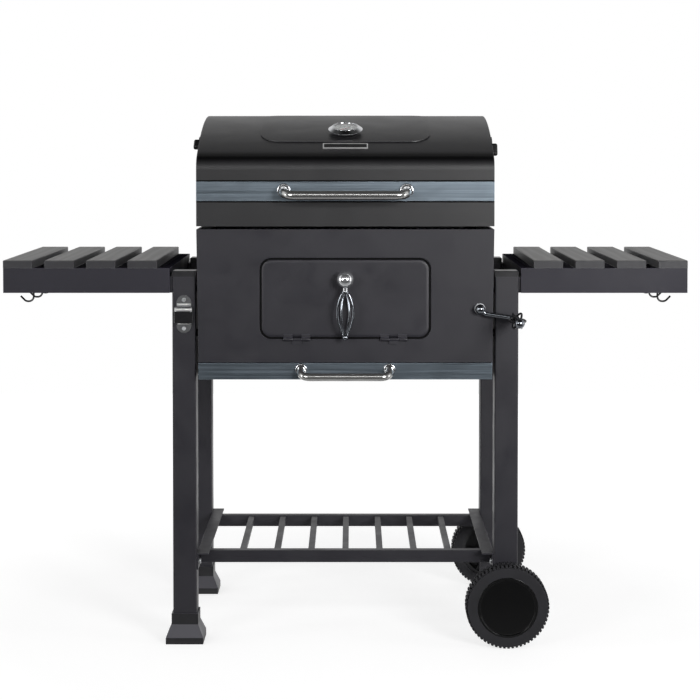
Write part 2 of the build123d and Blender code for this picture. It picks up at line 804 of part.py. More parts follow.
def rack(y):
    """Toothed bar on the tray's right wall; a gap faces the pinion's axis at rest."""
    points = [(tray_right, rack_low), (rack_root_x, rack_low)]
    count = int((rack_high - rack_low) / tooth_pitch)
    first = crank_height + tooth_pitch / 2 - tooth_pitch * int((lift_travel + rack_ends) / tooth_pitch)
    wide = rack_half_tooth + (pitch_line_x - rack_root_x) * tooth_slope
    narrow = rack_half_tooth - rack_addendum * tooth_slope
    for index in range(count):
        z = first + index * tooth_pitch
        if z - wide > rack_low and z + wide < rack_high:
            points += [(rack_root_x, z - wide), (pitch_line_x + rack_addendum, z - narrow),
                       (pitch_line_x + rack_addendum, z + narrow), (rack_root_x, z + wide)]
    points += [(rack_root_x, rack_high), (tray_right, rack_high)]
    face = Plane.XZ * make_face(Polyline(*points, close=True))
    return along_y(face, y - rack_width / 2, y + rack_width / 2)


def pinion(y):
    """Involute pinion with a tooth that points at the rack at rest."""
    base = pitch_radius * cos(radians(pressure_angle))
    tip = pitch_radius + gear_module
    root = pitch_radius - gear_module - gear_root_gap
    half_tooth = pi / (2 * pinion_teeth) - gear_backlash / (4 * pitch_radius)

    def roll(radius):
        slope = sqrt(max(radius ** 2 / base ** 2 - 1, 0))
        return slope - atan2(slope, 1)

    flank = [root] + [base + (tip - base) * step / flank_steps for step in range(flank_steps + 1)]
    points = []
    for index in range(pinion_teeth):
        middle = pi + 2 * pi * index / pinion_teeth
        rise = [(r, half_tooth + roll(pitch_radius) - roll(max(r, base))) for r in flank]
        for radius, spread in rise:
            points.append((radius * cos(middle - spread), radius * sin(middle - spread)))
        for radius, spread in reversed(rise):
            points.append((radius * cos(middle + spread), radius * sin(middle + spread)))
    face = make_face(Polyline(*points, close=True)) - Circle(shaft_radius + running_fit)
    placed = Pos(crank_x, 0, crank_height) * (Plane.XZ * face)
    return along_y(placed, y - pinion_width / 2, y + pinion_width / 2)


rack_places = (tray_front + rack_inset, tray_back - rack_inset)
nodes["lift_racks"] = group([rack(y) for y in rack_places])
nodes["lift_pinions"] = group([pinion(y) for y in rack_places])

# Crank: shaft, bearings, arm and a basket grip that turns on its pin
ball_y = front_y - crank_ball_forward
shaft_end = inner_back_y - end_play
shaft_start = ball_y + crank_ball_radius / 2


def on_crank(y0, y1, radius):
    """Round bar on the crank's axis between two depths."""
    return rod((crank_x, y0, crank_height), (0, 1, 0), radius, y1 - y0)


nodes["crank_shaft"] = on_crank(shaft_start, shaft_end, shaft_radius)
flange_front = front_y - bearing_flange
front_bearing = on_crank(flange_front, front_y, bearing_flange_radius)
front_bearing += on_crank(flange_front, front_y + bearing_length, bearing_radius - running_fit)
back_bearing = on_crank(inner_back_y - bearing_length, inner_back_y, bearing_flange_radius)
shaft_bore = on_crank(ball_y, inner_back_y, shaft_radius + running_fit)
nodes["shaft_bearings"] = group([front_bearing - shaft_bore, back_bearing - shaft_bore])
eye_x = crank_x + crank_arm_reach
eye_z = crank_height - crank_arm_drop
eye_front = ball_y - crank_eye_length / 2
arm = Pos(crank_x, ball_y, crank_height) * Sphere(crank_ball_radius)
knee = (crank_x + crank_knee_reach, ball_y, crank_height - crank_knee_drop)
arm_points = ((crank_x, ball_y, crank_height), knee, (eye_x, ball_y, eye_z))
arm_path = FilletPolyline(*arm_points, radius=crank_knee_bend)
arm += pipe(arm_path, crank_arm_radius)
arm += rod((eye_x, eye_front, eye_z), (0, 1, 0), crank_eye_radius, crank_eye_length)
arm -= on_crank(shaft_start, shaft_end, shaft_radius)
arm -= rod((eye_x, eye_front - sheet, eye_z), (0, 1, 0), crank_pin_radius, crank_eye_length + 2 * sheet)
grip_front = eye_front - 2 * end_play - grip_length
pin = rod((eye_x, grip_front, eye_z), (0, 1, 0), crank_pin_radius, eye_front + crank_eye_length - grip_front)
pin_ball_y = grip_front - sqrt(crank_end_radius ** 2 - crank_pin_radius ** 2)
pin += Pos(eye_x, pin_ball_y, eye_z) * Sphere(crank_end_radius)
nodes["crank_arm"] = group([arm, pin])
crank_cage = birdcage(crank_pin_radius + running_fit)
nodes["crank_grip"] = Pos(eye_x, eye_front - end_play, eye_z) * Rot(90, 0, 0) * crank_cage


# Lid: a bent sheet over two end plates
crown_y = front_y + lid_crown_apex
crown_z = lid_top - lid_crown_radius


def bend_centre(y, radius):
    """Centre of a bend that is tangent to the lid's crown and to an upright wall."""
    reach = lid_crown_radius - radius
    return (y, crown_z + sqrt(reach ** 2 - (y - crown_y) ** 2))


def lid_outline(inset):
    """Side view of the lid, shrunk by an inset and open towards the firebox."""
    front = bend_centre(front_y + lid_front_bend, lid_front_bend)
    back = bend_centre(back_y - lid_back_bend, lid_back_bend)
    front_turn = degrees(atan2(front[1] - crown_z, front[0] - crown_y))
    back_turn = degrees(atan2(back[1] - crown_z, back[0] - crown_y))
    rise = Line((front_y + inset, lid_bottom), (front_y + inset, front[1]))
    front_arc = CenterArc(front, lid_front_bend - inset, front_turn, 180 - front_turn)
    crown = CenterArc((crown_y, crown_z), lid_crown_radius - inset, back_turn, front_turn - back_turn)
    back_arc = CenterArc(back, lid_back_bend - inset, 0, back_turn)
    fall = Line((back_y - inset, back[1]), (back_y - inset, lid_bottom))
    base = Line((back_y - inset, lid_bottom), (front_y + inset, lid_bottom))
    return make_face(rise + front_arc + crown + back_arc + fall + base)


def along_x(face, x0, x1):
    """Extrude a side view from one X to another."""
    return Pos(x0, 0, 0) * extrude(Plane.YZ * face, x1 - x0, dir=(1, 0, 0))


def on_lid(back, lift):
    """Plane on the lid's crown at a distance behind its front, raised along the surface normal."""
    lean = asin((lid_crown_apex - back) / lid_crown_radius)
    normal = (0, -sin(lean), cos(lean))
    reach = lid_crown_radius + lift
    origin = (0, crown_y - reach * sin(lean), crown_z + reach * cos(lean))
    return Plane(origin=origin, x_dir=(1, 0, 0), z_dir=normal)


shell_half = lid_half - sheet
shell = along_x(lid_outline(0) - lid_outline(sheet), -shell_half, shell_half)
raised = Circle(lid_crown_radius + emboss_height) - Circle(lid_crown_radius - sheet / 2)
raised = along_x(Pos(crown_y, crown_z) * raised, -shell_half, shell_half)
emboss_middle = front_y + emboss_front + emboss_length / 2
window = RectangleRounded(2 * (lid_half - emboss_side), emboss_length, emboss_corner)
raised &= Pos(0, emboss_middle, lid_bottom) * extrude(window, 2 * lid_height)
raised = chamfer(raised.faces().sort_by(SortBy.AREA)[-1].edges(), emboss_slope)
gauge_plane = on_lid(gauge_back, emboss_height)
stem_hole = gauge_plane * Cylinder(gauge_stem_radius + bolt_clearance, 4 * gauge_wall)
nodes["lid_shell"] = shell + raised - stem_hole

vent_y = front_y + vent_back
vent_z = lid_bottom + vent_height


def vent_holes(tab_angle, x0, x1):
    """Round air holes set between the spokes of the damper."""
    cutters = []
    for index in range(vent_hole_count):
        angle = radians(tab_angle + 360 * (index + 0.5) / vent_hole_count)
        y = vent_y - vent_hole_circle * cos(angle)
        z = vent_z + vent_hole_circle * sin(angle)
        cutters.append(rod((x0, y, z), (1, 0, 0), vent_hole_radius, x1 - x0))
    return cutters


def lid_end(side, tab_angle):
    """End plate of the lid with its air holes and the rivet hole of the damper."""
    plate = along_x(lid_outline(0), shell_half, lid_half)
    for cutter in vent_holes(tab_angle, shell_half - sheet, lid_half + sheet):
        plate -= cutter
    plate -= rod((shell_half - sheet, vent_y, vent_z), (1, 0, 0), vent_rivet_radius + running_fit, 3 * sheet)
    return plate if side > 0 else mirror(plate, Plane.YZ)


def damper(side, tab_angle):
    """Turning disc with air holes, a finger tab and a rivet through the end plate."""
    face_x = lid_half + vent_gap
    disc = rod((face_x, vent_y, vent_z), (1, 0, 0), vent_radius, vent_plate)
    for cutter in vent_holes(tab_angle, face_x - sheet, face_x + vent_plate + sheet):
        disc -= cutter
    tab = Pos(vent_tab_proud / 2, 0, 0) * Box(vent_tab_proud, vent_tab_width, vent_tab_length)
    tab = fillet(tab.edges().filter_by(Axis.X), vent_tab_corner)
    tab = fillet(tab.faces().sort_by(Axis.X)[-1].edges(), vent_tab_round)
    angle = radians(tab_angle)
    tab_y = vent_y - vent_tab_circle * cos(angle)
    tab_z = vent_z + vent_tab_circle * sin(angle)
    disc += Pos(face_x, tab_y, tab_z) * Rot(-tab_angle, 0, 0) * tab
    inner_x = shell_half - vent_gap
    disc += rod((inner_x, vent_y, vent_z), (1, 0, 0), vent_rivet_radius, face_x + vent_plate - inner_x)
    disc += rod((inner_x - vent_plate, vent_y, vent_z), (1, 0, 0), 2 * vent_rivet_radius, vent_plate)
    return disc if side > 0 else mirror(disc, Plane.YZ)


nodes["lid_end_plates"] = group([lid_end(-1, left_vent_tab_angle), lid_end(1, right_vent_tab_angle)])
nodes["left_vent_damper"] = damper(-1, left_vent_tab_angle)
nodes["right_vent_damper"] = damper(1, right_vent_tab_angle)

# Steel band and handle on the lid's front
band_bottom = lid_bottom + band_rise
band_front = front_y - band_thickness
nodes["lid_band"] = block(-lid_half, lid_half, band_front, front_y, band_bottom, band_bottom + band_height)
lid_handle_z = band_bottom + band_height / 2 - lid_handle_drop
nodes["lid_handle"] = handle(lid_handle_half, lid_handle_radius, lid_handle_standoff, lid_handle_bend,
                             lid_handle_sag, band_front, lid_handle_z)
nodes["lid_handle_ferrules"] = handle_ferrules(lid_handle_half, lid_handle_radius, lid_handle_standoff,
                                               lid_handle_sag, band_front, lid_handle_z, lid_ferrule_radius)

# Lid hinges: brackets on the firebox, straps on the lid, one pin each
hinge_third = lid_hinge_length / 3
hinge_bore = lid_pin_radius + running_fit
leaf_near = lid_hinge_radius + lid_leaf_gap
brackets = []
straps = []
lid_pins = []
lid_hinge_x = lid_half - lid_hinge_inset
for x in (-lid_hinge_x, lid_hinge_x):
    x0 = x - lid_hinge_length / 2
    x1 = x + lid_hinge_length / 2
    plate_y = back_y + lid_hinge_plate
    tab0 = x - hinge_third / 2 + half_gap
    tab1 = x + hinge_third / 2 - half_gap
    bore = rod((x0 - half_gap, lid_axis_y, lid_axis_z), (1, 0, 0), hinge_bore, lid_hinge_length + knuckle_gap)
    bracket = block(x0, x1, back_y, plate_y, lid_axis_z - lid_hinge_leaf, lid_axis_z - leaf_near)
    bracket += block(tab0, tab1, back_y, plate_y, lid_axis_z - leaf_near, lid_axis_z - lid_gap / 2)
    bracket += rod((tab0, lid_axis_y, lid_axis_z), (1, 0, 0), lid_hinge_radius, tab1 - tab0)
    brackets.append(bracket - bore)
    strap = block(x0, x1, back_y, plate_y, lid_axis_z + leaf_near, lid_axis_z + lid_hinge_leaf)
    for start, end in ((x0, tab0 - knuckle_gap), (tab1 + knuckle_gap, x1)):
        strap += block(start, end, back_y, plate_y, lid_axis_z + lid_gap / 2, lid_axis_z + leaf_near)
        strap += rod((start, lid_axis_y, lid_axis_z), (1, 0, 0), lid_hinge_radius, end - start)
    straps.append(strap - bore)
    lid_pins.append(rod((x0, lid_axis_y, lid_axis_z), (1, 0, 0), lid_pin_radius, lid_hinge_length))
nodes["lid_hinge_brackets"] = group(brackets)
nodes["lid_hinge_straps"] = group(straps)
nodes["lid_hinge_pins"] = group(lid_pins)

# Thermometer on the lid
cup_radius = gauge_top_radius - gauge_wall
glass_top = gauge_height - gauge_glass_sink
glass_low = glass_top - gauge_glass_thickness
dial_top = glass_low - gauge_dial_depth
dial_low = dial_top - gauge_dial_thickness
nut_top = -emboss_height - sheet - bolt_clearance
case_outline = Polyline((0, 0), (gauge_foot_radius, 0), (gauge_rim_radius, gauge_rim_height),
                        (gauge_rim_radius, gauge_rim_height + gauge_rim_edge),
                        (gauge_top_radius, gauge_height), (0, gauge_height), close=True)
case = revolve(Plane.XZ * make_face(case_outline), Axis.Z)
case -= Pos(0, 0, dial_low) * extrude(Circle(cup_radius), gauge_height)
case += Pos(0, 0, -gauge_stem_length) * extrude(Circle(gauge_stem_radius), gauge_stem_length + dial_low / 2)
gauge_nut = extrude(RegularPolygon(gauge_nut_radius, 6) - Circle(gauge_stem_radius + running_fit),
                    gauge_nut_height)
dial_ring = Circle(cup_radius - running_fit) - Circle(gauge_pivot_radius + running_fit)
dial_disc = extrude(dial_ring, gauge_dial_thickness)
needle_low = dial_top + gauge_needle_thickness
needle_bar = extrude(Rectangle(gauge_needle_width, gauge_needle_length), gauge_needle_thickness)
needle = Pos(0, gauge_needle_offset, needle_low) * needle_bar
needle += Pos(0, 0, dial_low + end_play) * extrude(Circle(gauge_pivot_radius), needle_low - dial_low)
glass_disc = extrude(Circle(cup_radius - running_fit), gauge_glass_thickness)
nodes["thermometer_case"] = gauge_plane * case
nodes["thermometer_dial"] = gauge_plane * Pos(0, 0, dial_low) * dial_disc
nodes["thermometer_needle"] = gauge_plane * Rot(0, 0, needle_rest_angle) * needle
nodes["thermometer_glass"] = gauge_plane * Pos(0, 0, glass_low) * glass_disc
nodes["thermometer_nut"] = gauge_plane * Pos(0, 0, nut_top - gauge_nut_height) * gauge_nut

# Bare name plate with a raised border
tag = extrude(Rectangle(plate_width, plate_length), plate_thickness)
tag_field = Rectangle(plate_width - 2 * plate_border, plate_length - 2 * plate_border)
tag -= Pos(0, 0, plate_thickness - plate_recess) * extrude(tag_field, plate_thickness)
nodes["name_plate"] = on_lid(plate_back, 0) * tag


# Side tables: sheet frames with slats across them and hooks below
def table_frame(side):
    """Welded frame: four apron walls, a lip inside their top edge and a strip for the hooks."""
    x0, x1 = table_inner_x, table_outer_x
    half = apron_half_y
    inner_wall = block(x0, x0 + sheet, sheet - half, half - sheet, apron_bottom, apron_top)
    for y in (-leg_y, leg_y):
        inner_wall -= bolt_hole((x0, y, apron_middle), (1, 0, 0), 2 * sheet)
    outer_wall = block(x1 - sheet, x1, sheet - half, half - sheet, apron_bottom, apron_top)
    strip = hook_strip_width / 2
    hook_strip = block(hook_x - strip, hook_x + strip, sheet - half, half - sheet,
                       apron_bottom, apron_bottom + hook_strip_thickness)
    pieces = [inner_wall, outer_wall, hook_strip]
    lip_bottom = apron_top - sheet
    for y0, y1 in ((-half, sheet - half), (half - sheet, half)):
        pieces.append(block(x0, x1, y0, y1, apron_bottom, apron_top))
    for y0, y1 in ((sheet - half, apron_lip - half), (half - apron_lip, half - sheet)):
        pieces.append(block(x0 + sheet, x1 - sheet, y0, y1, lip_bottom, apron_top))
    for x2, x3 in ((x0 + sheet, x0 + apron_lip), (x1 - apron_lip, x1 - sheet)):
        pieces.append(block(x2, x3, apron_lip - half, half - apron_lip, lip_bottom, apron_top))
    return group(pieces if side > 0 else [mirror(piece, Plane.YZ) for piece in pieces])


def slat(side, index):
    """Wooden slat from front to back with softened edges."""
    x = table_outer_x - slat_width / 2 - index * slat_pitch
    length = 2 * (leg_face_y + slat_overhang)
    board = Pos(side * x, 0, apron_top + slat_thickness / 2) * Box(slat_width, length, slat_thickness)
    return fillet(board.faces().sort_by(Axis.Z)[-1].edges(), slat_edge)


def hook(side, y):
    """Wire hook welded under the strip, with its mouth towards the table's outer end."""
    x = side * hook_x
    tip_x = side * (hook_x + hook_width - 2 * hook_wire_radius)
    turn_x = tip_x - side * hook_tip
    low = apron_bottom - hook_drop + hook_wire_radius
    points = ((x, y, apron_bottom), (x, y, low), (turn_x, y, low), (tip_x, y, low + hook_tip))
    return pipe(FilletPolyline(*points, radius=hook_bend), hook_wire_radius)


def table_bracket(side, y):
    """Block between a leg and the apron."""
    half = leg_side / 2 - leg_corner
    x0, x1 = sorted((side * cart_width / 2, side * table_inner_x))
    body = block(x0, x1, y - half, y + half, apron_bottom, leg_top)
    return body - bolt_hole((side * table_inner_x, y, apron_middle), (1, 0, 0), 2 * table_gap)


hook_places = [(index - (hook_count - 1) / 2) * hook_pitch for index in range(hook_count)]
nodes["left_table_frame"] = table_frame(-1)
nodes["right_table_frame"] = table_frame(1)
nodes["table_slats"] = group([slat(side, index) for side in (-1, 1) for index in range(slat_count)])
nodes["tool_hooks"] = group([hook(side, y) for side in (-1, 1) for y in hook_places])
table_brackets = [table_bracket(side, y) for side in (-1, 1) for y in (-leg_y, leg_y)]

# Bottle opener: a plate with half-round ends and an open-bottomed hood
opener_slot = Plane.XZ * SlotOverall(opener_length, opener_width, rotation=90)
opener_face = Pos(-leg_x, 0, opener_height) * opener_slot
opener_front = -leg_face_y - opener_plate
opener = along_y(opener_face, opener_front, -leg_face_y)
hood_front = opener_front - opener_hood
hood_half = opener_hood_width / 2
hood_top = opener_height + opener_hood_height / 2
hood_low = opener_height - opener_hood_height / 2
hood = block(-leg_x - hood_half, -leg_x + hood_half, hood_front, opener_front, hood_low, hood_top)
hood = fillet(hood.edges().filter_by(Axis.Z).sort_by(Axis.Y)[:2], opener_hood_corner)
hood_edges = hood.faces().sort_by(Axis.Z)[-1].edges()
hood = fillet(hood_edges.sort_by(Axis.Y)[:-1], opener_hood_round)
mouth_half = hood_half - opener_hood_wall
mouth = block(-leg_x - mouth_half, -leg_x + mouth_half, hood_front + opener_hood_wall, opener_front,
              hood_low - opener_hood, hood_top - opener_hood_wall)
mouth = fillet(mouth.edges().filter_by(Axis.Z).sort_by(Axis.Y)[:2], opener_hood_corner - opener_hood_wall)
opener += hood - mouth
for seat in opener_screw_seats():
    start = (seat[0], opener_front - sheet, seat[2])
    opener -= rod(start, (0, 1, 0), opener_screw_radius + bolt_clearance, opener_plate + 2 * sheet)
nodes["bottle_opener"] = opener

# Bolts, spacers and screws
bolts = []
spacers = []
for side in (-1, 1):
    for y in (-leg_y, leg_y):
        for height in firebox_bolt_heights:
            reach = sheet + spacer_length + leg_wall + bolt_grip
            bolts.append(bolt((side * inner_half, y, height), (side, 0, 0), reach))
            start = (side * firebox_half, y, height)
            tube = rod(start, (side, 0, 0), spacer_radius, spacer_length)
            spacers.append(tube - bolt_hole(start, (side, 0, 0), 2 * spacer_length))
        shelf_seat = (side * (leg_inner_x - shelf_angle_thickness), y, shelf_bolt_height)
        bolts.append(bolt(shelf_seat, (side, 0, 0), shelf_angle_thickness + leg_wall + bolt_grip))
        table_seat = (side * (table_inner_x + sheet), y, apron_middle)
        bolts.append(bolt(table_seat, (-side, 0, 0), sheet + table_gap + leg_wall + bolt_grip))
screws = []
for seat in opener_screw_seats():
    head_start = (seat[0], opener_front - opener_screw_head, seat[2])
    head = rod(head_start, (0, 1, 0), 2 * opener_screw_radius, opener_screw_head)
    shank_start = (seat[0], opener_front, seat[2])
    shank_length = opener_plate + leg_wall + bolt_grip
    screws.append(head + rod(shank_start, (0, 1, 0), opener_screw_radius, shank_length))
nodes["frame_fasteners"] = group(bolts + screws + axle_nuts)
nodes["mounting_spacers"] = group(spacers + table_brackets)

# The origin is on the floor, in the middle of the whole object
front_most = pin_ball_y - crank_end_radius
rear_most = leg_face_y + rim_outer_reach + hubcap_rim
middle = Pos(0, -(front_most + rear_most) / 2, 0)

os.makedirs("parts", exist_ok=True)
for name, shape in nodes.items():
    export_step(middle * shape, "parts/" + name + ".step")
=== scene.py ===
import json
import math

import bmesh
import bpy
from mathutils import Matrix, Vector


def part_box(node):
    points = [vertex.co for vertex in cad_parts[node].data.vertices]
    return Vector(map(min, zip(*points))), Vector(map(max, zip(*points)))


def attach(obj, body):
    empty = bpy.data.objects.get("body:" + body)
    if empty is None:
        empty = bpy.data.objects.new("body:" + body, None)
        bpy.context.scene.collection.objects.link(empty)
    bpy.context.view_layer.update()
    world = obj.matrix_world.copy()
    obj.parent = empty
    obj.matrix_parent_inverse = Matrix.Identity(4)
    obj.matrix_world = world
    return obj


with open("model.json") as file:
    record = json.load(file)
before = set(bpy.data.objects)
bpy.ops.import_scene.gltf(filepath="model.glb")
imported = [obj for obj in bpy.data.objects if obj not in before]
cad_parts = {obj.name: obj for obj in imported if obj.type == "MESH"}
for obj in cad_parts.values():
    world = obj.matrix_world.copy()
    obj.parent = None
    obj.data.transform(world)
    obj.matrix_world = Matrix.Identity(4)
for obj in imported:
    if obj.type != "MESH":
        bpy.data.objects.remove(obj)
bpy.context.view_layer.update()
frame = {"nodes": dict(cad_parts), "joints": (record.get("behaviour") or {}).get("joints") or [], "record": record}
nodes = frame["nodes"]
joints = {joint["name"]: joint for joint in frame["joints"]}
MM = 0.001


# Node graphs and materials
class Graph:
    """Helpers for adding shader nodes to a tree."""

    def __init__(self, tree, coordinates):
        self.tree = tree
        self.tree.nodes.clear()
        self.place = self.add("TexCoord").outputs[coordinates]

    def add(self, kind, settings=None, **values):
        """New shader node with its settings and the values of its sockets."""
        node = self.tree.nodes.new("ShaderNode" + kind)
        for key, value in (settings or {}).items():
            setattr(node, key, value)
        for key, value in values.items():
            self.put(node.inputs[key.replace("_", " ")], value)
        return node

    def put(self, socket, value):
        """Link a socket to another node's output, or set it to a plain value."""
        if isinstance(value, bpy.types.NodeSocket):
            self.tree.links.new(value, socket)
        else:
            socket.default_value = value

    def stretch(self, scale, turn=(0, 0, 0)):
        """Object coordinates turned and scaled along each axis."""
        return self.add("Mapping", Vector=self.place, Scale=scale, Rotation=turn).outputs[0]

    def noise(self, scale, detail=3.0, rough=0.5, vector=None, warp=0.0):
        """Fractal noise from 0 to 1."""
        node = self.add("TexNoise", Scale=scale, Detail=detail, Roughness=rough, Distortion=warp,
                        Vector=vector or self.place)
        return node.outputs["Fac"]

    def ramp(self, value, stops):
        """Colour by value, from stops of place and colour."""
        node = self.add("ValToRGB", Fac=value)
        elements = node.color_ramp.elements
        while len(elements) < len(stops):
            elements.new(0.5)
        for element, (place, colour) in zip(elements, stops):
            element.position = place
            element.color = (*colour, 1)
        return node.outputs[0]

    def span(self, value, low, high, start=0.0, end=1.0, shape="LINEAR"):
        """Map a value from start..end to low..high."""
        node = self.add("MapRange", {"interpolation_type": shape}, Value=value,
                        From_Min=start, From_Max=end, To_Min=low, To_Max=high)
        return node.outputs[0]

    def mix(self, factor, first, second):
        """Blend two colours."""
        node = self.add("Mix", {"data_type": "RGBA"})
        for socket, value in zip((node.inputs[0], node.inputs[6], node.inputs[7]), (factor, first, second)):
            self.put(socket, (*value, 1) if isinstance(value, tuple) else value)
        return node.outputs[2]

    def math(self, operation, first, second):
        """One sum on two values."""
        node = self.add("Math", {"operation": operation})
        self.put(node.inputs[0], first)
        self.put(node.inputs[1], second)
        return node.outputs[0]

    def blend(self, first, second, share):
        """Weighted sum of two values, with the first one's share."""
        rest = self.math("MULTIPLY", second, 1.0 - share)
        return self.math("ADD", self.math("MULTIPLY", first, share), rest)

    def upward(self):
        """How far a face looks up: 1 on top, 0 on a wall."""
        return self.add("SeparateXYZ", Vector=self.add("NewGeometry").outputs["Normal"]).outputs["Z"]


class Finish(Graph):
    """A material with one principled shader."""

    def __init__(self, name, **sockets):
        self.material = bpy.data.materials.new(name)
        self.material.use_nodes = True
        super().__init__(self.material.node_tree, "Object")
        self.shader = self.add("BsdfPrincipled", None, **sockets)
        self.out = self.add("OutputMaterial", None, Surface=self.shader.outputs[0])

    def edges(self, radius=1.2 * MM):
        """Mask of hard edges, used for wear and for painted edge highlights: the normal there differs from its
        average nearby.
        """
        rounded = self.add("Bevel", {"samples": 6}, Radius=radius).outputs[0]
        compare = self.add("VectorMath", {"operation": "DOT_PRODUCT"})
        self.put(compare.inputs[0], rounded)
        self.put(compare.inputs[1], self.add("NewGeometry").outputs["Normal"])
        return self.span(compare.outputs["Value"], 1.0, 0.0, 0.82, 0.985)

    def feed(self, socket, value):
        """Link or set a socket of the shader."""
        self.put(self.shader.inputs[socket], value)

    def bump(self, height, distance, strength):
        """Fine relief of the surface."""
        node = self.add("Bump", Height=height, Distance=distance, Strength=strength)
        self.feed("Normal", node.outputs[0])


def shade(colour, factor):
    """A colour made darker or lighter."""
    return tuple(min(channel * factor, 1.0) for channel in colour)


def powder_coat(name, colour, rough, gloss=0.5, wear=1.0, painted_shade=None, matte_top=False):
    """Satin powder coat: cloudy tone, fine orange peel, and edges painted lighter, partly as wear and partly as
    painted highlights.

    A strip of painted shade darkens one height, in front of its rear limit, and dulls the gloss there; a matte top
    takes the gloss off faces that look up.
    """
    finish = Finish(name, Specular_IOR_Level=gloss)
    cloud = finish.noise(5.0, 4.0, 0.55)
    speck = finish.noise(1100.0, 2.0, 0.6)
    tone = finish.ramp(cloud, [(0.30, shade(colour, 0.86)), (0.70, shade(colour, 1.14))])
    tone = finish.mix(finish.span(speck, 0.0, 0.35, 0.45, 0.75), tone, shade(colour, 1.7))
    # Edges painted lighter: partly wear, partly painted highlights where the edges catch the light
    tone = finish.mix(finish.span(finish.edges(), 0.0, 0.6), tone, shade(colour, 6.0))
    # Painted shade: a dark, less glossy strip at one height (the lid's bend), fading out towards the rear limit
    if painted_shade:
        place = finish.add("SeparateXYZ", Vector=finish.place).outputs
        off = finish.math("ABSOLUTE", finish.math("SUBTRACT", place["Z"], painted_shade["height"]), 0.0)
        strip = finish.span(off, 0.9, 0.0, painted_shade["core"], painted_shade["reach"], "SMOOTHSTEP")
        front = finish.span(place["Y"], 1.0, 0.0, painted_shade["rear"] - painted_shade["fade"], painted_shade["rear"])
        shade_mask = finish.math("MULTIPLY", strip, front)
        tone = finish.mix(shade_mask, tone, shade(colour, 0.1))
        finish.feed("Specular IOR Level", finish.span(shade_mask, gloss, 0.1 * gloss))
    if matte_top:
        finish.feed("Specular IOR Level", finish.span(finish.upward(), gloss, 0.0, 0.3, 0.8))
    finish.feed("Base Color", tone)
    smear = finish.noise(14.0, 5.0, 0.6, warp=0.6)
    finish.feed("Roughness", finish.span(smear, rough - 0.07 * wear, rough + 0.09 * wear, 0.3, 0.7))
    finish.bump(finish.math("ADD", speck, finish.noise(330.0, 2.0)), 0.06 * MM, 0.55)
    return finish.material


def brushed_metal(name, colour, rough):
    """Steel brushed along X, with long hairlines and slight smudges."""
    finish = Finish(name, Metallic=1.0, Anisotropic=0.35)
    fine = finish.noise(1.0, 3.0, 0.65, finish.stretch((6.0, 900.0, 900.0)))
    broad = finish.noise(1.0, 2.0, 0.5, finish.stretch((2.0, 210.0, 210.0)))
    streak = finish.blend(fine, broad, 0.6)
    tone = finish.ramp(streak, [(0.32, shade(colour, 0.62)), (0.66, shade(colour, 1.28))])
    wave = finish.noise(1.0, 3.0, 0.55, finish.stretch((9.0, 26.0, 26.0)), 0.8)
    tone = finish.mix(finish.span(wave, 0.0, 0.5, 0.45, 0.70), tone, shade(colour, 0.70))
    # Edges painted lighter, as painted highlights
    tone = finish.mix(finish.span(finish.edges(2.2 * MM), 0.0, 0.8), tone, shade(colour, 2.6))
    finish.feed("Base Color", tone)
    smudge = finish.noise(9.0, 4.0, 0.6)
    lines = finish.span(streak, rough - 0.08, rough + 0.12, 0.3, 0.7)
    finish.feed("Roughness", finish.math("ADD", lines, finish.span(smudge, 0.0, 0.06, 0.45, 0.75)))
    finish.bump(streak, 0.05 * MM, 0.35)
    return finish.material


def polished_metal(name, colour, rough, metal=1.0, wear=1.0):
    """Plated metal with faint smudges and hairline scratches."""
    finish = Finish(name, Metallic=metal)
    smudge = finish.noise(38.0, 5.0, 0.6, warp=0.4)
    scratch = finish.noise(1.0, 2.0, 0.5, finish.stretch((1500.0, 60.0, 240.0), (0.3, 0.5, 0.2)))
    tone = finish.ramp(smudge, [(0.35, shade(colour, 0.93)), (0.7, shade(colour, 1.05))])
    finish.feed("Base Color", tone)
    lines = finish.span(scratch, 0.0, 0.05 * wear, 0.62, 0.72)
    film = finish.span(smudge, rough, rough + 0.07 * wear, 0.4, 0.75)
    finish.feed("Roughness", finish.math("ADD", film, lines))
    finish.bump(smudge, 0.02 * MM, 0.2 * wear)
    return finish.material


def plated_steel(name, colour, rough):
    """Zinc plated steel with a soft crystal pattern."""
    finish = Finish(name, Metallic=1.0)
    spangle = finish.add("TexVoronoi", Scale=190.0, Vector=finish.place).outputs["Distance"]
    tint = finish.math("ADD", finish.math("MULTIPLY", spangle, 0.6), finish.noise(60.0, 4.0))
    finish.feed("Base Color", finish.ramp(tint, [(0.3, shade(colour, 0.75)), (1.0, shade(colour, 1.2))]))
    finish.feed("Roughness", finish.span(tint, rough - 0.1, rough + 0.14, 0.3, 1.0))
    finish.bump(finish.noise(420.0, 2.0), 0.04 * MM, 0.4)
    return finish.material


def moulded_plastic(name, colour, rough, grain, depth, gloss=0.4, slope=1.0):
    """Moulded plastic or rubber: grain, slight mottling, edges painted lighter as scuffs and painted highlights,
    and faces that look up made paler by a factor.
    """
    finish = Finish(name, Specular_IOR_Level=gloss)
    mottle = finish.noise(23.0, 4.0, 0.6)
    pores = finish.noise(grain, 2.0, 0.6)
    tone = finish.ramp(mottle, [(0.3, shade(colour, 0.8)), (0.72, shade(colour, 1.25))])
    # Edges painted lighter: partly scuffs, partly painted highlights
    tone = finish.mix(finish.span(finish.edges(), 0.0, 0.6), tone, shade(colour, 4.0))
    # Faces that look up made paler by the slope factor
    tone = finish.mix(finish.span(finish.upward(), 0.0, 1.0, 0.15, 0.40), tone, shade(colour, slope))
    finish.feed("Base Color", tone)
    finish.feed("Roughness", finish.span(mottle, rough - 0.06, rough + 0.1, 0.3, 0.7))
    finish.bump(pores, depth, 0.6)
    return finish.material


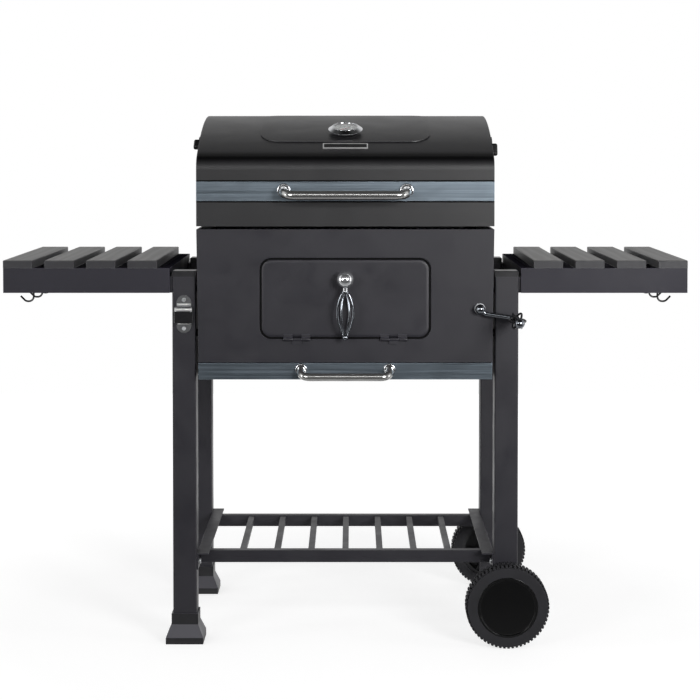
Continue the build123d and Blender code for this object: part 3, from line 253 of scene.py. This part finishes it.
def gloss_cover(name, colour):
    """Polished moulding with a clear surface, fine dust and hairline scuffs."""
    finish = Finish(name, Coat_Weight=0.1, Coat_Roughness=0.06)
    finish.feed("Specular IOR Level", finish.span(finish.edges(3.0 * MM), 0.16, 1.0))
    dust = finish.noise(800.0, 2.0, 0.7)
    scuff = finish.noise(1.0, 3.0, 0.6, finish.stretch((40.0, 700.0, 700.0), (0.2, 0.7, 0.4)))
    tone = finish.mix(finish.span(dust, 0.0, 0.25, 0.62, 0.8), colour, shade(colour, 6.0))
    finish.feed("Base Color", tone)
    finish.feed("Roughness", finish.span(scuff, 0.10, 0.24, 0.35, 0.7))
    finish.bump(finish.noise(60.0, 2.0), 0.05 * MM, 0.15)
    return finish.material


def enamel(name, colour):
    """Porcelain enamel: glassy, with pits, soft runs and thin edges."""
    finish = Finish(name, Specular_IOR_Level=0.5, Coat_Weight=0.2, Coat_Roughness=0.12)
    runs = finish.noise(18.0, 4.0, 0.55)
    pits = finish.add("TexVoronoi", Scale=420.0, Vector=finish.place).outputs["Distance"]
    tone = finish.ramp(runs, [(0.3, shade(colour, 0.8)), (0.7, shade(colour, 1.3))])
    tone = finish.mix(finish.span(finish.edges(), 0.0, 0.4), tone, (0.09, 0.075, 0.065))
    finish.feed("Base Color", tone)
    finish.feed("Roughness", finish.span(runs, 0.24, 0.42, 0.3, 0.7))
    finish.bump(finish.math("ADD", runs, finish.math("MULTIPLY", pits, 0.4)), 0.12 * MM, 0.4)
    return finish.material


def stained_wood(name):
    """Dark stained board with grain along Y, its faces that don't look up painted darker as painted shade, and
    edges painted paler, partly wear and partly painted highlights.
    """
    finish = Finish(name, Specular_IOR_Level=0.5)
    board = finish.noise(9.0, 2.0, 0.4, finish.stretch((1.3, 0.01, 0.01)))
    grain = finish.noise(1.0, 5.0, 0.62, finish.stretch((170.0, 4.5, 170.0)), 0.9)
    fibre = finish.noise(1.0, 3.0, 0.6, finish.stretch((900.0, 14.0, 900.0)))
    rings = finish.add("TexWave", {"wave_type": "BANDS", "bands_direction": "X"}, Scale=16.0,
                       Distortion=7.0, Detail=3.0, Detail_Scale=1.2,
                       Vector=finish.stretch((1.0, 0.06, 1.0))).outputs["Fac"]
    figure = finish.blend(grain, rings, 0.65)
    tone = finish.ramp(figure, [(0.22, (0.088, 0.085, 0.083)), (0.5, (0.102, 0.098, 0.096)),
                                (0.8, (0.116, 0.112, 0.109))])
    tone = finish.mix(finish.span(board, 0.0, 0.5, 0.3, 0.7), tone, (0.098, 0.095, 0.093))
    tone = finish.mix(finish.span(fibre, 0.0, 0.3, 0.58, 0.78), tone, (0.068, 0.066, 0.064))
    # Painted shade: faces that don't look up go much darker
    tone = finish.mix(finish.span(finish.upward(), 1.0, 0.0, 0.3, 0.7), tone, (0.022, 0.0215, 0.0255))
    # Edges painted paler: partly wear, partly painted highlights
    tone = finish.mix(finish.span(finish.edges(2.0 * MM), 0.0, 0.7), tone, (0.22, 0.218, 0.22))
    finish.feed("Base Color", tone)
    finish.feed("Roughness", finish.span(figure, 0.42, 0.52, 0.2, 0.8))
    finish.bump(finish.math("SUBTRACT", figure, finish.span(fibre, 0.0, 0.8, 0.55, 0.8)), 0.12 * MM, 0.5)
    return finish.material


def dial_card(name):
    """Off-white printed card with a faint paper tooth."""
    finish = Finish(name, Specular_IOR_Level=0.3)
    tooth = finish.noise(700.0, 3.0, 0.6)
    finish.feed("Base Color", finish.ramp(tooth, [(0.3, (0.66, 0.67, 0.67)), (0.7, (0.80, 0.81, 0.80))]))
    finish.feed("Roughness", finish.span(tooth, 0.42, 0.58))
    finish.bump(tooth, 0.02 * MM, 0.3)
    return finish.material


def clear_glass(name):
    """Thin clear glass with faint wipe marks."""
    finish = Finish(name, Transmission_Weight=1.0, IOR=1.46)
    wipe = finish.noise(120.0, 4.0, 0.6, warp=0.8)
    finish.feed("Base Color", finish.ramp(wipe, [(0.3, (0.95, 0.97, 0.97)), (0.7, (1.0, 1.0, 1.0))]))
    finish.feed("Roughness", finish.span(wipe, 0.0, 0.05, 0.4, 0.7))
    return finish.material


def paint(name, colour, rough=0.35, gloss=0.5):
    """Thin lacquer with a slightly uneven coat."""
    finish = Finish(name, Specular_IOR_Level=gloss)
    coat = finish.noise(160.0, 4.0, 0.6)
    finish.feed("Base Color", finish.ramp(coat, [(0.3, shade(colour, 0.82)), (0.7, shade(colour, 1.18))]))
    finish.feed("Roughness", finish.span(coat, rough - 0.08, rough + 0.1))
    finish.bump(coat, 0.02 * MM, 0.3)
    return finish.material


# Finishes by material slot, then those of single nodes
BODY_COLOUR = (0.0142, 0.0134, 0.0186)
LID_COLOUR = (0.0090, 0.0088, 0.0100)
FINE_GRAIN = 1300.0
# A strip of painted shade along the lid's bend, where it turns from front to top
BEND_SHADE = {"height": 988.0 * MM, "core": 2.6 * MM, "reach": 13.0 * MM, "rear": -80.0 * MM,
              "fade": 40.0 * MM}
finishes = {
    "body_paint": powder_coat("body_paint", BODY_COLOUR, 0.46),
    "lid_paint": powder_coat("lid_paint", LID_COLOUR, 0.42, gloss=0.6, wear=0.35),
    "dark_plastic": moulded_plastic("dark_plastic", (0.012, 0.012, 0.0135), 0.46, FINE_GRAIN, 0.06 * MM),
    "tyre": moulded_plastic("tyre", (0.0165, 0.0162, 0.0190), 0.62, 700.0, 0.12 * MM, 0.3),
    "hubcap": gloss_cover("hubcap", (0.0016, 0.0016, 0.0018)),
    "brushed_steel": brushed_metal("brushed_steel", (0.150, 0.180, 0.208), 0.37),
    "chrome": polished_metal("chrome", (0.66, 0.67, 0.69), 0.05),
    "zinc_steel": plated_steel("zinc_steel", (0.45, 0.46, 0.47), 0.38),
    "enamel": enamel("enamel", (0.022, 0.022, 0.024)),
    "black_wire": paint("black_wire", (0.010, 0.010, 0.011), 0.22),
    "stained_wood": stained_wood("stained_wood"),
    "dial_face": dial_card("dial_face"),
    "needle_red": paint("needle_red", (0.45, 0.03, 0.02)),
    "clear_glass": clear_glass("clear_glass"),
}
slot_of = {part["node"]: part["material_slot"] for part in frame["record"]["subparts"]}
own_finish = {
    "feet": moulded_plastic("foot_plastic", (0.013, 0.0127, 0.0150), 0.42, FINE_GRAIN, 0.06 * MM, slope=5.5),
    "leg_caps": moulded_plastic("cap_plastic", (0.011, 0.0108, 0.0125), 0.38, FINE_GRAIN, 0.05 * MM),
    "lid_handle": polished_metal("handle_steel", (0.54, 0.54, 0.53), 0.20, metal=0.94, wear=0.1),
    "door_knob": polished_metal("knob_chrome", (0.80, 0.81, 0.83), 0.05, metal=0.90, wear=0.5),
    "door_grip": polished_metal("grip_chrome", (0.24, 0.255, 0.28), 0.10, wear=0.1),
    "bottle_opener": polished_metal("opener_steel", (0.66, 0.67, 0.69), 0.12, metal=0.95),
    "name_plate": polished_metal("plate_border", (0.75, 0.75, 0.75), 0.30, metal=0.7),
    # Table frames: the body's paint made 1.5 times lighter, a painted lit copy of it
    "left_table_frame": powder_coat("table_paint_lit_copy", shade(BODY_COLOUR, 1.5), 0.52, gloss=0.3,
                                    matte_top=True),
    "left_vent_damper": paint("vent_black", (0.004, 0.004, 0.0045), 0.34),
    # Lid shell: with painted shade along its bend
    "lid_shell": powder_coat("shell_paint", LID_COLOUR, 0.42, gloss=0.6, wear=0.35, painted_shade=BEND_SHADE),
}
for name, twin in (("crank_arm", "door_grip"), ("drawer_handle", "lid_handle"),
                   ("right_table_frame", "left_table_frame"), ("right_vent_damper", "left_vent_damper")):
    own_finish[name] = own_finish[twin]
for name, node in nodes.items():
    node.data.materials.clear()
    node.data.materials.append(own_finish.get(name) or finishes[slot_of[name]])

# Softened edges on the sheet metal, wood and mouldings, so that they catch the light (widths in mm)
WELD_REACH = 0.002 * MM
SOFT_ANGLE = math.radians(40.0)
SOFT_STEPS = 2
soft_edges = {
    "firebox_front_panel": 1.0, "door_panel": 0.7, "lid_band": 0.5, "drawer_front": 0.6,
    "lid_end_plates": 0.7, "firebox_side_panels": 0.6, "firebox_back_panel": 0.6,
    "shelf_side_angles": 0.6, "shelf_rails": 1.2, "shelf_bars": 1.2, "feet": 1.2,
    "leg_caps": 0.5, "table_slats": 0.8, "name_plate": 0.3, "mounting_spacers": 0.5,
    "bottle_opener": 0.6, "left_table_frame": 0.8, "right_table_frame": 0.8,
}
for name, width in soft_edges.items():
    weld = nodes[name].modifiers.new("weld", "WELD")
    weld.merge_threshold = WELD_REACH
    bevel = nodes[name].modifiers.new("soft_edge", "BEVEL")
    bevel.width = width * MM
    bevel.segments = SOFT_STEPS
    bevel.limit_method = "ANGLE"
    bevel.angle_limit = SOFT_ANGLE
    bevel.harden_normals = True
    bevel.use_clamp_overlap = True


# Small meshes
def new_piece(name, mesh, body, material, smooth=False):
    """Add a mesh to the scene on a body, with a material."""
    piece = bpy.data.objects.new(name, mesh)
    bpy.context.scene.collection.objects.link(piece)
    mesh.materials.append(material)
    if smooth:
        for face in mesh.polygons:
            face.use_smooth = True
    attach(piece, body)


def lathe(builder, profile, steps, matrix):
    """Closed surface of revolution about local Z from a closed (radius, height) profile."""
    rings = []
    for step in range(steps):
        turn = Matrix.Rotation(2 * math.pi * step / steps, 4, "Z")
        rings.append([builder.verts.new(matrix @ turn @ Vector((radius, 0, height)))
                      for radius, height in profile])
    for step in range(steps):
        here = rings[step]
        after = rings[(step + 1) % steps]
        for index in range(len(profile)):
            nearby = (index + 1) % len(profile)
            builder.faces.new((here[index], after[index], after[nearby], here[nearby]))


BRICK_CHAMFER = 0.2


def brick(builder, size, matrix):
    """Box centred on the matrix, with chamfers that are a share of its least side."""
    made = bmesh.ops.create_cube(builder, size=1.0, matrix=matrix @ Matrix.Diagonal((*size, 1)))
    edges = {edge for vert in made["verts"] for edge in vert.link_edges}
    bmesh.ops.bevel(builder, geom=list(edges), offset=min(size) * BRICK_CHAMFER, segments=1, affect="EDGES")


def finish_mesh(builder, name):
    """Turn what was built into a mesh with its faces outward."""
    bmesh.ops.recalc_face_normals(builder, faces=builder.faces)
    mesh = bpy.data.meshes.new(name)
    builder.to_mesh(mesh)
    builder.free()
    return mesh


# Thermometer: printed scale, bezel ring and bare centre cap, by height over the needle joint's point
DIAL_TOP = 7.4 * MM
DIAL_RADIUS = 24.4 * MM
DIAL_MARGIN = 1.6 * MM
PRINT_RISE = 0.1 * MM
TICK_COUNT = 27
TICK_START = 220.0
TICK_SWEEP = 260.0
TICK_DEPTH = 0.2 * MM
LONG_TICK = (3.4 * MM, 0.7 * MM)
SHORT_TICK = (2.0 * MM, 0.4 * MM)
TICKS_PER_NUMBER = 4
DEGREES_PER_NUMBER = 50
NUMBER_SIZE = 4.6 * MM
NUMBER_DEPTH = 0.06 * MM
NUMBER_MARGIN = 8.6 * MM
NUMBER_REACH = DIAL_RADIUS - NUMBER_MARGIN
BEZEL_STEPS = 72
BEZEL_PROFILE = ((24.6, 12.65), (25.4, 13.9), (26.6, 14.1), (27.6, 13.5), (27.9, 12.4), (26.0, 12.4))
CAP_STEPS = 32
CAP_PROFILE = ((0.15, 10.2), (1.6, 10.0), (2.4, 9.4), (2.5, 8.5), (0.15, 8.5))
needle = joints["needle_turn"]
gauge_normal = -Vector(needle["axis"])
gauge_right = Vector((1, 0, 0))
gauge_up = gauge_normal.cross(gauge_right)
gauge_frame = Matrix((gauge_right, gauge_up, gauge_normal)).transposed().to_4x4()
gauge_frame = Matrix.Translation(Vector(needle["pos_m"])) @ gauge_frame
ink = paint("dial_ink", (0.012, 0.012, 0.013), 0.5)


def on_dial(index, reach):
    """Place on the dial at a tick's angle and a distance from the middle, and that angle."""
    angle = math.radians(TICK_START - TICK_SWEEP * index / (TICK_COUNT - 1))
    place = (reach * math.cos(angle), reach * math.sin(angle), DIAL_TOP + PRINT_RISE)
    return gauge_frame @ Matrix.Translation(place), angle


builder = bmesh.new()
for index in range(TICK_COUNT):
    length, width = SHORT_TICK if index % 2 else LONG_TICK
    spot, angle = on_dial(index, DIAL_RADIUS - DIAL_MARGIN - length / 2)
    brick(builder, (length, width, TICK_DEPTH), spot @ Matrix.Rotation(angle, 4, "Z"))
new_piece("dial_ticks", finish_mesh(builder, "dial_ticks"), "lid", ink)
for index in range(0, TICK_COUNT, TICKS_PER_NUMBER):
    order = index // TICKS_PER_NUMBER
    text = bpy.data.curves.new("dial_number", "FONT")
    text.body = str(DEGREES_PER_NUMBER * (order + 1))
    text.size = NUMBER_SIZE
    text.align_x = "CENTER"
    text.align_y = "CENTER"
    text.extrude = NUMBER_DEPTH
    text.materials.append(ink)
    number = bpy.data.objects.new(f"dial_number_{order}", text)
    bpy.context.scene.collection.objects.link(number)
    number.matrix_world = on_dial(index, NUMBER_REACH)[0]
    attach(number, "lid")
for name, body, steps, profile in (("gauge_bezel", "lid", BEZEL_STEPS, BEZEL_PROFILE),
                                   ("needle_cap", "needle", CAP_STEPS, CAP_PROFILE)):
    builder = bmesh.new()
    lathe(builder, [(radius * MM, height * MM) for radius, height in profile], steps, gauge_frame)
    new_piece(name, finish_mesh(builder, name), body, finishes["chrome"], True)

# Bare black field inside the name plate's border, square to the lid's crown
CROWN_RADIUS = 718.0 * MM
CROWN_REACH = 300.0 * MM
FIELD_SIZE = (88.2 * MM, 17.8 * MM, 0.5 * MM)
FIELD_RISE = 0.5 * MM
plate_low, plate_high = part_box("name_plate")
plate_turn = Matrix.Rotation(math.asin(CROWN_REACH / CROWN_RADIUS), 4, "X")
plate_place = Matrix.Translation((plate_low + plate_high) / 2) @ plate_turn
plate_field = brushed_metal("plate_black", (0.012, 0.012, 0.013), 0.34)
builder = bmesh.new()
brick(builder, FIELD_SIZE, plate_place @ Matrix.Translation((0, 0, FIELD_RISE)))
new_piece("name_plate_field", finish_mesh(builder, "name_plate_field"), "lid", plate_field)

# Black strips along the band's two edges, standing in for the shadow lines there (painted shadow)
SHADOW_LINE_HEIGHT = 3.0 * MM
SHADOW_LINE_DEPTH = 0.6 * MM
SHADOW_LINE_PROUD = 0.1 * MM
band_low, band_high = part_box("lid_band")
sheet_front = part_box("lid_shell")[0].y
builder = bmesh.new()
for shadow_line_z in (band_low.z - SHADOW_LINE_HEIGHT / 2, band_high.z + SHADOW_LINE_HEIGHT / 2):
    shadow_line_place = ((band_low.x + band_high.x) / 2, sheet_front - SHADOW_LINE_PROUD, shadow_line_z)
    brick(builder, (band_high.x - band_low.x, SHADOW_LINE_DEPTH, SHADOW_LINE_HEIGHT), Matrix.Translation(shadow_line_place))
# Flat black for the painted shadow lines
shadow_black = paint("shadow_black", (0.002, 0.002, 0.0022), 0.7, 0.1)
new_piece("band_shadow_lines", finish_mesh(builder, "band_shadow_lines"), "lid", shadow_black)

# Charcoal door: a black ring over the gap round it and over the door's outer edge, standing in for the shadow in
# the gap (painted shadow)
DOOR_MIDDLE = (0.0, 702.6 * MM)
DOOR_HALF = (172.5 * MM, 82.0 * MM)
DOOR_CORNER = 24.0 * MM
DOOR_GAP = 3.0 * MM
CORNER_STEPS = 8
GAP_SHADE_PLAY = 0.2 * MM
GAP_SHADE_LAP = 1.5 * MM
GAP_SHADE_REACH = DOOR_GAP + GAP_SHADE_LAP
GAP_SHADE_RISE = 0.25 * MM
GAP_SHADE_DEPTH = 0.6 * MM
panel_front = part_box("firebox_front_panel")[0].y


def door_loop(inset, depth):
    """Outline of the door opening, drawn in by an inset, at a depth behind the panel's front."""
    corner = DOOR_CORNER - inset
    points = []
    for quarter, (side_x, side_z) in enumerate(((1, 1), (-1, 1), (-1, -1), (1, -1))):
        for step in range(CORNER_STEPS + 1):
            angle = math.pi / 2 * (quarter + step / CORNER_STEPS)
            x = side_x * (DOOR_HALF[0] - DOOR_CORNER) + corner * math.cos(angle)
            z = side_z * (DOOR_HALF[1] - DOOR_CORNER) + corner * math.sin(angle)
            points.append((DOOR_MIDDLE[0] + x, panel_front + depth, DOOR_MIDDLE[1] + z))
    return points


def loop_solid(name, loops):
    """Closed mesh from a ring of loops with the same number of points."""
    builder = bmesh.new()
    loops = [[builder.verts.new(point) for point in loop] for loop in loops]
    for index, loop in enumerate(loops):
        after = loops[(index + 1) % len(loops)]
        for step in range(len(loop)):
            builder.faces.new((loop[step - 1], loop[step], after[step], after[step - 1]))
    return finish_mesh(builder, name)


gap_shade_loops = [door_loop(GAP_SHADE_PLAY, -GAP_SHADE_RISE), door_loop(GAP_SHADE_PLAY, GAP_SHADE_DEPTH),
              door_loop(GAP_SHADE_REACH, GAP_SHADE_DEPTH), door_loop(GAP_SHADE_REACH, -GAP_SHADE_RISE)]
new_piece("door_gap_shade", loop_solid("door_gap_shade", gap_shade_loops), "door", shadow_black)

# Pressed skin of the charcoal door: edges rolled to the back, a hole for the knob's stem
SKIN_TUCK = 0.3 * MM
SKIN_INSET = GAP_SHADE_REACH - SKIN_TUCK
SKIN_ROLL = 6.5 * MM
SKIN_RISE = 1.6 * MM
SKIN_SEAT = 0.1 * MM
SKIN_FLAT = 0.4 * MM
ROLL_STEPS = 8
STEM_HOLE = 8.6 * MM
SHARP_ANGLE = math.radians(30.0)
knob_height = joints["handle_turn"]["pos_m"][2]


def stem_loop(depth):
    """Points of the stem's hole, each facing a point of the door's outline."""
    angles = [math.atan2(z - knob_height, x) for x, y, z in door_loop(SKIN_INSET, 0.0)]
    return [(STEM_HOLE * math.cos(angle), panel_front + depth, knob_height + STEM_HOLE * math.sin(angle))
            for angle in angles]


skin_loops = [door_loop(SKIN_INSET, SKIN_SEAT)]
for step in range(ROLL_STEPS + 1):
    angle = math.pi / 2 * step / ROLL_STEPS
    inset = SKIN_INSET + SKIN_ROLL * (1 - math.cos(angle))
    skin_loops.append(door_loop(inset, -SKIN_RISE * math.sin(angle)))
skin_loops.append(door_loop(SKIN_INSET + SKIN_ROLL + SKIN_FLAT, -SKIN_RISE))
skin_loops += [stem_loop(-SKIN_RISE), stem_loop(SKIN_SEAT)]
skin_mesh = loop_solid("door_skin", skin_loops)
new_piece("door_skin", skin_mesh, "door", finishes["body_paint"], True)
skin_mesh.set_sharp_from_angle(angle=SHARP_ANGLE)

# Bottle opener: rolled lips, and a black face on the hood standing in for the shade in its mouth (painted shade)
HOOD_HALF_HEIGHT = 17.0 * MM
HOOD_HALF_WIDTH = 19.0 * MM
OPENER_PLATE = 2.0 * MM
LIP_SINK = 0.2 * MM
LIP_STEPS = 18
LIP_DEPTH = 0.4
FACE_TOP = 6.6 * MM
FACE_MARGIN = 1.0 * MM
FACE_DEPTH = 0.6 * MM
FACE_PROUD = 0.1 * MM
opener_low, opener_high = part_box("bottle_opener")
opener_middle = (opener_low + opener_high) / 2
hood_front = opener_low.y + LIP_SINK
plate_front = opener_high.y - OPENER_PLATE
# Half width, height over the opener's middle, size, and the face that each lip lies on
lips = ((14.0 * MM, 19.6 * MM, 4.6 * MM, plate_front), (17.0 * MM, 10.4 * MM, 6.0 * MM, hood_front),
        (13.0 * MM, -19.6 * MM, 3.0 * MM, plate_front))
lip_steel = polished_metal("lip_steel", (0.62, 0.62, 0.61), 0.28, metal=0.55, wear=0.1)
builder = bmesh.new()
for half_width, rise, height, y in lips:
    lip_place = Vector((opener_middle.x, y, opener_middle.z + rise))
    ends = []
    for side in (-half_width, half_width):
        turns = [2 * math.pi * step / LIP_STEPS for step in range(LIP_STEPS)]
        outline = [(side, LIP_DEPTH * height * math.cos(turn), height / 2 * math.sin(turn)) for turn in turns]
        ends.append([builder.verts.new(lip_place + Vector(point)) for point in outline])
    for index in range(LIP_STEPS):
        builder.faces.new((ends[0][index - 1], ends[1][index - 1], ends[1][index], ends[0][index]))
    for end in ends:
        builder.faces.new(end)
new_piece("opener_lips", finish_mesh(builder, "opener_lips"), "cart", lip_steel, True)
# Black face over the hood's front: painted shade
face_height = HOOD_HALF_HEIGHT + FACE_TOP
face_place = Matrix.Translation((opener_middle.x, opener_low.y - FACE_PROUD,
                                 opener_middle.z + FACE_TOP - face_height / 2))
builder = bmesh.new()
brick(builder, (2 * (HOOD_HALF_WIDTH - FACE_MARGIN), FACE_DEPTH, face_height), face_place)
new_piece("opener_shade_face", finish_mesh(builder, "opener_shade_face"), "cart", finishes["black_wire"])

# Studio: a white sweep behind, a dim room in front, a dark ceiling over the front
FRONT_LEVEL = 0.15
SIDE_LEVEL = 1.0
REAR_LEVEL = 0.78
CEILING_LEVEL = 0.06
BELOW_LEVEL = 0.30
world = bpy.data.worlds.new("studio")
bpy.context.scene.world = world
world.use_nodes = True
room = Graph(world.node_tree, "Generated")
towards = room.add("SeparateXYZ", Vector=room.place).outputs
rearward = room.span(towards["Y"], 0.0, 1.0, -1.0, 1.0)
walls = room.ramp(rearward, [(0.36, (FRONT_LEVEL,) * 3), (0.46, (SIDE_LEVEL,) * 3),
                             (0.56, (SIDE_LEVEL,) * 3), (0.68, (REAR_LEVEL,) * 3)])
sweep = room.math("MULTIPLY", room.span(towards["Y"], 0.0, 1.0, 0.35, 0.6, "SMOOTHSTEP"),
                  room.span(towards["Z"], 1.0, 0.0, 0.06, 0.26, "SMOOTHSTEP"))
walls = room.math("MAXIMUM", walls, sweep)
above = room.span(towards["Z"], 1.0, CEILING_LEVEL, 0.55, 0.86, "SMOOTHSTEP")
below = room.span(towards["Z"], BELOW_LEVEL, 1.0, -0.20, 0.0, "SMOOTHSTEP")
level = room.math("MULTIPLY", walls, room.math("MULTIPLY", above, below))
light_path = room.add("LightPath").outputs
shown = room.add("MixShader", None, Fac=light_path["Is Camera Ray"])
room.put(shown.inputs[1], room.add("Background", None, Color=(1, 1, 1, 1), Strength=level).outputs[0])
room.put(shown.inputs[2], room.add("Background", None, Color=(1, 1, 1, 1), Strength=1.0).outputs[0])
room.add("OutputWorld", None, Surface=shown.outputs[0])

# Floor of pale paper that keeps the shadow and pales to white away from the object
NEAR_GLOW = 0.72
FAR_GLOW = 0.95
NEAR_REACH = 0.7
FAR_REACH = 1.9
FLOOR_SIDE = 2.6
FLOOR_FRONT = -0.95
FLOOR_REAR = 3.4
floor_corners = [(-FLOOR_SIDE, FLOOR_FRONT, 0), (FLOOR_SIDE, FLOOR_FRONT, 0),
                 (FLOOR_SIDE, FLOOR_REAR, 0), (-FLOOR_SIDE, FLOOR_REAR, 0)]
floor_mesh = bpy.data.meshes.new("studio_floor")
floor_mesh.from_pydata(floor_corners, [], [(0, 1, 2, 3)])
floor = bpy.data.objects.new("studio_floor", floor_mesh)
bpy.context.scene.collection.objects.link(floor)
paper = Finish("floor_paper", Roughness=0.9, Specular_IOR_Level=0.1)
tooth = paper.noise(160.0, 3.0)
paper.feed("Base Color", paper.ramp(tooth, [(0.3, (0.44, 0.44, 0.44)), (0.7, (0.48, 0.48, 0.48))]))
light_path = paper.add("LightPath").outputs
depth = paper.add("SeparateXYZ", Vector=paper.place).outputs["Y"]
behind = paper.span(depth, 0.0, 1.0, -0.6, 0.4)
bounced = paper.math("MAXIMUM", light_path["Is Glossy Ray"], light_path["Is Transmission Ray"])
mirrored = paper.math("MULTIPLY", bounced, behind)
seen = paper.math("MAXIMUM", light_path["Is Camera Ray"], mirrored)
away = paper.add("VectorMath", {"operation": "LENGTH"})
paper.put(away.inputs[0], paper.place)
sheen = paper.span(away.outputs["Value"], NEAR_GLOW, FAR_GLOW, NEAR_REACH, FAR_REACH)
glow = paper.add("Emission", None, Strength=paper.math("MULTIPLY", seen, sheen))
lit = paper.add("AddShader")
paper.put(lit.inputs[0], paper.shader.outputs[0])
paper.put(lit.inputs[1], glow.outputs[0])
paper.put(paper.out.inputs["Surface"], lit.outputs[0])
floor_mesh.materials.append(paper.material)


# Lamps
def softbox(name, place, target, size, power, spread):
    """Rectangular lamp that looks at a target, in metres, watts and degrees."""
    lamp = bpy.data.lights.new(name, "AREA")
    lamp.shape = "RECTANGLE"
    lamp.size, lamp.size_y = size
    lamp.energy = power
    lamp.spread = math.radians(spread)
    holder = bpy.data.objects.new(name, lamp)
    bpy.context.scene.collection.objects.link(holder)
    holder.location = place
    holder.rotation_euler = (Vector(target) - Vector(place)).to_track_quat("-Z", "Y").to_euler()
    holder.visible_camera = False


softbox("key", (1.60, -2.8, 1.40), (0.30, -0.15, 0.98), (0.9, 1.2), 13.0, 75.0)
softbox("fill", (-1.9, -2.7, 1.40), (-0.20, -0.15, 0.95), (0.9, 1.2), 6.0, 80.0)
softbox("strip", (0.0, -2.7, 1.80), (0.0, -0.15, 0.90), (2.6, 0.22), 8.0, 180.0)
softbox("left_edge", (-2.4, -0.9, 0.85), (-0.2, -0.15, 0.7), (0.3, 1.5), 8.0, 180.0)
softbox("right_edge", (2.4, -0.9, 0.85), (0.2, -0.15, 0.7), (0.3, 1.5), 8.0, 180.0)

# Camera as solved from the photo's edges: focal length and centre in pixels, eye in metres
IMAGE_SIZE = 700.0
FOCAL_LENGTH = 1811.07
CENTRE_X = 351.8
CENTRE_Y = 202.46
SENSOR_WIDTH = 36.0
EYE_SIDE = 0.01306
EYE_DISTANCE = 3.650
EYE_HEIGHT = 1.02436
DOWN_TILT = 2.02
camera = bpy.data.cameras.new("camera")
camera.sensor_width = SENSOR_WIDTH
camera.lens = FOCAL_LENGTH * SENSOR_WIDTH / IMAGE_SIZE
camera.shift_x = (IMAGE_SIZE / 2 - CENTRE_X) / IMAGE_SIZE
camera.shift_y = (CENTRE_Y - IMAGE_SIZE / 2) / IMAGE_SIZE
eye = bpy.data.objects.new("camera", camera)
bpy.context.scene.collection.objects.link(eye)
eye.location = (EYE_SIDE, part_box("left_legs")[0].y - EYE_DISTANCE, EYE_HEIGHT)
eye.rotation_euler = (math.radians(90.0 - DOWN_TILT), 0.0, 0.0)
bpy.context.scene.camera = eye
bpy.context.scene.view_settings.view_transform = "Standard"
